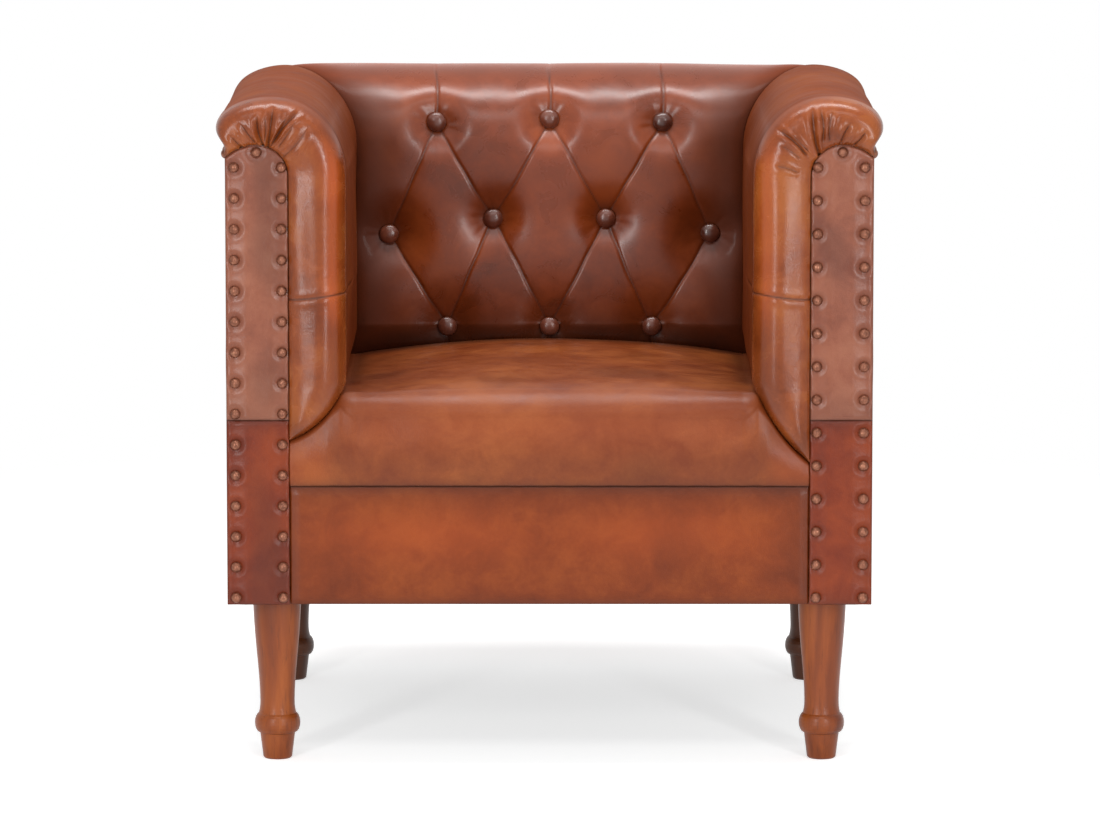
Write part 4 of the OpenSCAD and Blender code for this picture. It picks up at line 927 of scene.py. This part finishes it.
def facing(side, lower):
    """The lower or the upper leather of a front facing, drawn in under each nail."""
    z0, z1 = (BODY_Z, FACING_SPLIT) if lower else (FACING_SPLIT, FACING_TOP)
    if lower:
        zs = np.linspace(z0, z1, 150)
    else:
        # rows closer together towards the rounded top
        turn = 575.0
        zs = turn + (z1 - turn) * np.sin(np.linspace(0, math.pi / 2, 70))
        zs = np.concatenate([np.linspace(z0, turn, 190)[:-1], zs])
    r, R, xm = FACING_W / 2, FACING_R, X_SIDE - FACING_W / 2
    zi, zo = FACING_TOP - r, FACING_TOP - R
    left = xm - np.where(zs > zi, np.sqrt(np.maximum(0, r * r - (zs - zi) ** 2)), r)
    right = xm + np.minimum(r, np.sqrt(np.maximum(0, R * R - np.maximum(0, zs - zo) ** 2)))
    s = np.linspace(-1, 1, 64)
    s = np.sign(s) * np.abs(s) ** 0.85
    X = mix(left[:, None], right[:, None], (s[None, :] + 1) / 2)
    Z = np.repeat(zs[:, None], len(s), 1)
    edge = np.minimum(X - left[:, None], right[:, None] - X)
    top = np.where(Z > zo, R - np.hypot(X - xm, Z - zo), 99)
    top = np.where((X < xm) & (Z > zi), r - np.hypot(X - xm, Z - zi), top)
    edge = np.minimum(edge, np.maximum(top, 0))
    out = 1.5 * ease(edge / 4) + 1.6 * ease((edge - 5) / 16) + 0.5 * bump(edge - 1.6, 1.0)
    out += 0.5 * waves(X, Z, 51 + side + 4 * lower, 60) * ease(edge / 12)
    join = (z1 - Z) if lower else (Z - z0)
    out *= 0.45 + 0.55 * ease(join / 4)
    if lower:
        out *= 0.3 + 0.7 * ease((Z - z0) / 3)
    pocket_shade = np.zeros_like(out)
    # the nails draw the leather in, and painted shade lies in each pocket
    for x, z in nail_spots(side):
        d = np.hypot(X - x, Z - z)
        out -= 1.9 * bump(d, 7.5) - 0.5 * bump(d - 10, 3)
        pocket_shade = most(pocket_shade, 0.36 * bump(d, 8))
    Y = Y_FRONT + 0.9 - out
    shade = 0.4 * np.exp((z0 - Z) / 10) if lower else 0.26 * ease((50 - join) / 50)
    # painted shade in the nail pockets and low down, a dark line along the edges, darker towards the split,
    # and random burnish
    shade_and_burnish = most(pocket_shade, shade, 0.4 * np.exp(-edge / 1.2), 0.35 * np.exp(-np.abs(join) / 9),
                0.35 * ease((waves(X, Z, 61 + side, 70) - 0.1) / 0.7))
    return np.stack([X, Y, Z], 2), dict(shade_and_burnish=shade_and_burnish, seam=0.7 * bump(join, 0.9))


for side, tag in SIDES:
    for word, material in (("lower", FACE_LOW), ("upper", FACE_UP)):
        pts, fields = facing(side, word == "lower")
        panel = sided_object("facing_%s_panel_%s" % (word, tag), side, pts, fields, PANEL_T)
        finish_piece(panel, material, ["facing_%s_%s" % (word, tag)])


# The outside arms and back, with the spacing of the nails under the roll
NAIL_PITCH, FIRST_NAIL = 31.0, 10.5


def outside(kind):
    """The outside leather of an arm, with its rear corner, or of the back."""
    z = steps(BODY_Z, 6, BODY_Z + 6, 100, TUCK_Z - GAP)
    if kind == "arm":
        run = Y_BEND - Y_FRONT - FACING_T
        s = np.concatenate([np.linspace(0, run, 130)[:-1], run + np.linspace(0, CORNER_R * math.pi / 2, 40)])
        a = np.clip((s - run) / CORNER_R, 0, math.pi / 2)
        px = np.where(s <= run, X_SIDE, X_BEND + CORNER_R * np.cos(a))
        py = np.where(s <= run, Y_FRONT + FACING_T + s, Y_BEND + CORNER_R * np.sin(a))
        nx, ny = np.cos(a), np.sin(a)
        ends = np.minimum(s, s[-1] - s)
        seed = 71
    else:
        s = np.linspace(-X_BEND, X_BEND, 160)
        px, py, nx, ny = s, np.full(len(s), Y_BACK), 0 * s, np.ones(len(s))
        ends = X_BEND - np.abs(s)
        seed = 75
    S, Z = np.meshgrid(s, z)
    up, h = Z - BODY_Z, TUCK_Z - Z
    relief = 0.9 * waves(S, Z, seed, 150) + 0.3 * waves(S, Z, seed + 1, 40)
    ends = ends[None, :]
    out = 0.9 * ease(up / 5) * ease(ends / 6) + relief * ease(up / 30) * ease(ends / 30) * ease(h / 30) - 0.4
    # waves along the upper edge, as far apart as the nails
    pull = 0.8 * np.cos(2 * math.pi * (S - FIRST_NAIL) / NAIL_PITCH) * np.exp(-h / 16)
    out += pull * ease(ends / 12)
    pts = np.stack([px + nx * out, py + ny * out, Z], 2)
    # painted shade under the roll, at the bottom and at the ends; random burnish too
    shade_and_burnish = most(0.55 * np.exp(-up / 14), 0.5 * np.exp(-h / 16), 0.4 * np.exp(-ends / 9),
                0.2 * ease((waves(S, Z, seed + 2, 120) - 0.1) / 0.7))
    warm_and_reflected_light = 0.2 * bump(waves(S, Z, seed + 3, 200) - 0.4, 0.4)
    return pts, dict(shade_and_burnish=shade_and_burnish, warm_and_reflected_light=warm_and_reflected_light, seam=0.5 * bump(ends, 0.9))


for side, tag in SIDES:
    pts, fields = outside("arm")
    panel = sided_object("outside_panel_" + tag, side, pts, fields, PANEL_T)
    finish_piece(panel, OUTSIDE, ["outside_arm_" + tag])
pts, fields = outside("back")
panel = grid_object("outside_panel_back", pts, fields, flip=True, thick=PANEL_T)
finish_piece(panel, OUTSIDE, ["outside_back"])


# Finishes of the pieces that keep their modelled shape
KEEP = {
    FRAME_WOOD: ["rail", "post", "corner_block"], BOARD: ["board"], CLOTH: ["lining", "spring_cloth"],
    DUST: ["dust_cover"], FOAM: ["foam"], SPRING: ["seat_springs", "spring_clips"],
    ZINC: ["leg_bolts", "leg_nuts"], BRASS: ["nails"], LEG: ["leg_front"], LEG_REAR_SHADED: ["leg_rear"],
}
for node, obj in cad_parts.items():
    for mat, words in KEEP.items():
        if any(w in node for w in words):
            for s in obj.material_slots:
                s.material = mat
            if not obj.material_slots:
                obj.data.materials.append(mat)
    obj.data.polygons.foreach_set("use_smooth", np.ones(len(obj.data.polygons), bool))


# Floor, light and camera
FLOOR_HALF, FLOOR_GREY, FLOOR_LIFT = 14.0, 0.84, 0.6
# distances from the middle between which the floor goes over to plain white
FADE_FROM, FADE_TO = 0.55, 1.5
WORLD_LIGHT = 0.37
LENS, EYE_DISTANCE, EYE_TILT, AIM = 247.9, 7.5, 8.25, (0.0005, -0.28, 0.3565)
# name, place, aim, size and power of the lamps
LAMPS = [
    ("overhead", (0.0, -0.2, 2.3), (0, -0.1, 0.5), (1.8, 0.42), 34),
    ("front_soft", (0.0, -1.7, 2.05), (0, 0, 0.5), (1.7, 0.5), 8),
    ("left_strip", (-1.25, -2.7, 0.85), (0, -0.2, 0.4), (0.24, 1.5), 25),
    ("right_strip", (1.25, -2.7, 0.85), (0, -0.2, 0.4), (0.24, 1.5), 24),
]


def background_rays(nodes, links):
    """1 for a ray from the camera, or one that metal or glass sends on, and 0 for light on the object."""
    path = nodes.new("ShaderNodeLightPath")
    seen = path.outputs["Is Camera Ray"]
    for ray in ("Is Glossy Ray", "Is Transmission Ray"):
        either = nodes.new("ShaderNodeMath")
        either.operation = "MAXIMUM"
        links.new(seen, either.inputs[0])
        links.new(path.outputs[ray], either.inputs[1])
        seen = either.outputs[0]
    return seen


def floor():
    """A floor that shows the chair's shadow near it, and goes over to plain white."""
    me = bpy.data.meshes.new("floor")
    s = FLOOR_HALF
    me.from_pydata([(-s, -s, 0), (s, -s, 0), (s, s, 0), (-s, s, 0)], [], [(0, 1, 2, 3)])
    o = linked("floor", me)
    t = Tree("floor")
    t.surface("Base Color", (FLOOR_GREY, FLOOR_GREY, FLOOR_GREY, 1))
    t.surface("Roughness", 0.9)
    t.surface("Specular IOR Level", 0.1)
    # the background's white for the camera, and for what metal shows; the shadow stays
    seen = background_rays(t.nodes, t.links)
    glow, white = t.node("Emission", Strength=t.math("MULTIPLY", seen, FLOOR_LIFT)), t.node("Emission")
    lit, far = t.node("AddShader"), t.node("MixShader")
    t.links.new(t.bsdf.outputs[0], lit.inputs[0])
    t.links.new(glow.outputs[0], lit.inputs[1])
    radius = t.nodes.new("ShaderNodeVectorMath")
    radius.operation = "LENGTH"
    t.links.new(t.mapped(scale=(1, 0.8, 1)), radius.inputs[0])
    fade = t.span(radius.outputs["Value"], FADE_FROM, FADE_TO, 0, 1)
    t.links.new(t.math("MULTIPLY", seen, fade), far.inputs[0])
    t.links.new(lit.outputs[0], far.inputs[1])
    t.links.new(white.outputs[0], far.inputs[2])
    t.links.new(far.outputs[0], t.out.inputs[0])
    me.materials.append(t.mat)


def area(name, loc, aim, size, power):
    """A rectangular lamp that shines towards its aim."""
    d = bpy.data.lights.new(name, "AREA")
    d.shape, d.size, d.size_y, d.energy = "RECTANGLE", *size, power
    o = linked(name, d)
    o.location = loc
    o.rotation_euler = (Vector(aim) - Vector(loc)).to_track_quat("-Z", "Y").to_euler()


def studio():
    """Soft light from the world, and its plain white for the camera and for what shines."""
    world = bpy.data.worlds.new("studio")
    bpy.context.scene.world = world
    world.use_nodes = True
    nodes, links = world.node_tree.nodes, world.node_tree.links
    nodes.clear()
    both = nodes.new("ShaderNodeMixShader")
    links.new(background_rays(nodes, links), both.inputs[0])
    for i, strength in ((1, WORLD_LIGHT), (2, 1.0)):
        shade = nodes.new("ShaderNodeBackground")
        shade.inputs[0].default_value, shade.inputs[1].default_value = (1, 1, 1, 1), strength
        links.new(shade.outputs[0], both.inputs[i])
    links.new(both.outputs[0], nodes.new("ShaderNodeOutputWorld").inputs[0])


def camera():
    """The camera of the photograph: far off, with a long lens, and tilted down."""
    cam = bpy.data.cameras.new("camera")
    cam.sensor_width, cam.lens = 36.0, LENS
    cam.clip_end = 100
    eye = linked("camera", cam)
    tilt = math.radians(EYE_TILT)
    eye.location = Vector(AIM) + Vector((0, -math.cos(tilt), math.sin(tilt))) * EYE_DISTANCE
    eye.rotation_euler = (math.radians(90) - tilt, 0, 0)
    bpy.context.scene.camera = eye


floor()
for lamp in LAMPS:
    area(*lamp)
studio()
camera()
bpy.context.scene.view_settings.view_transform = "Standard"

bpy.context.view_layer.update()
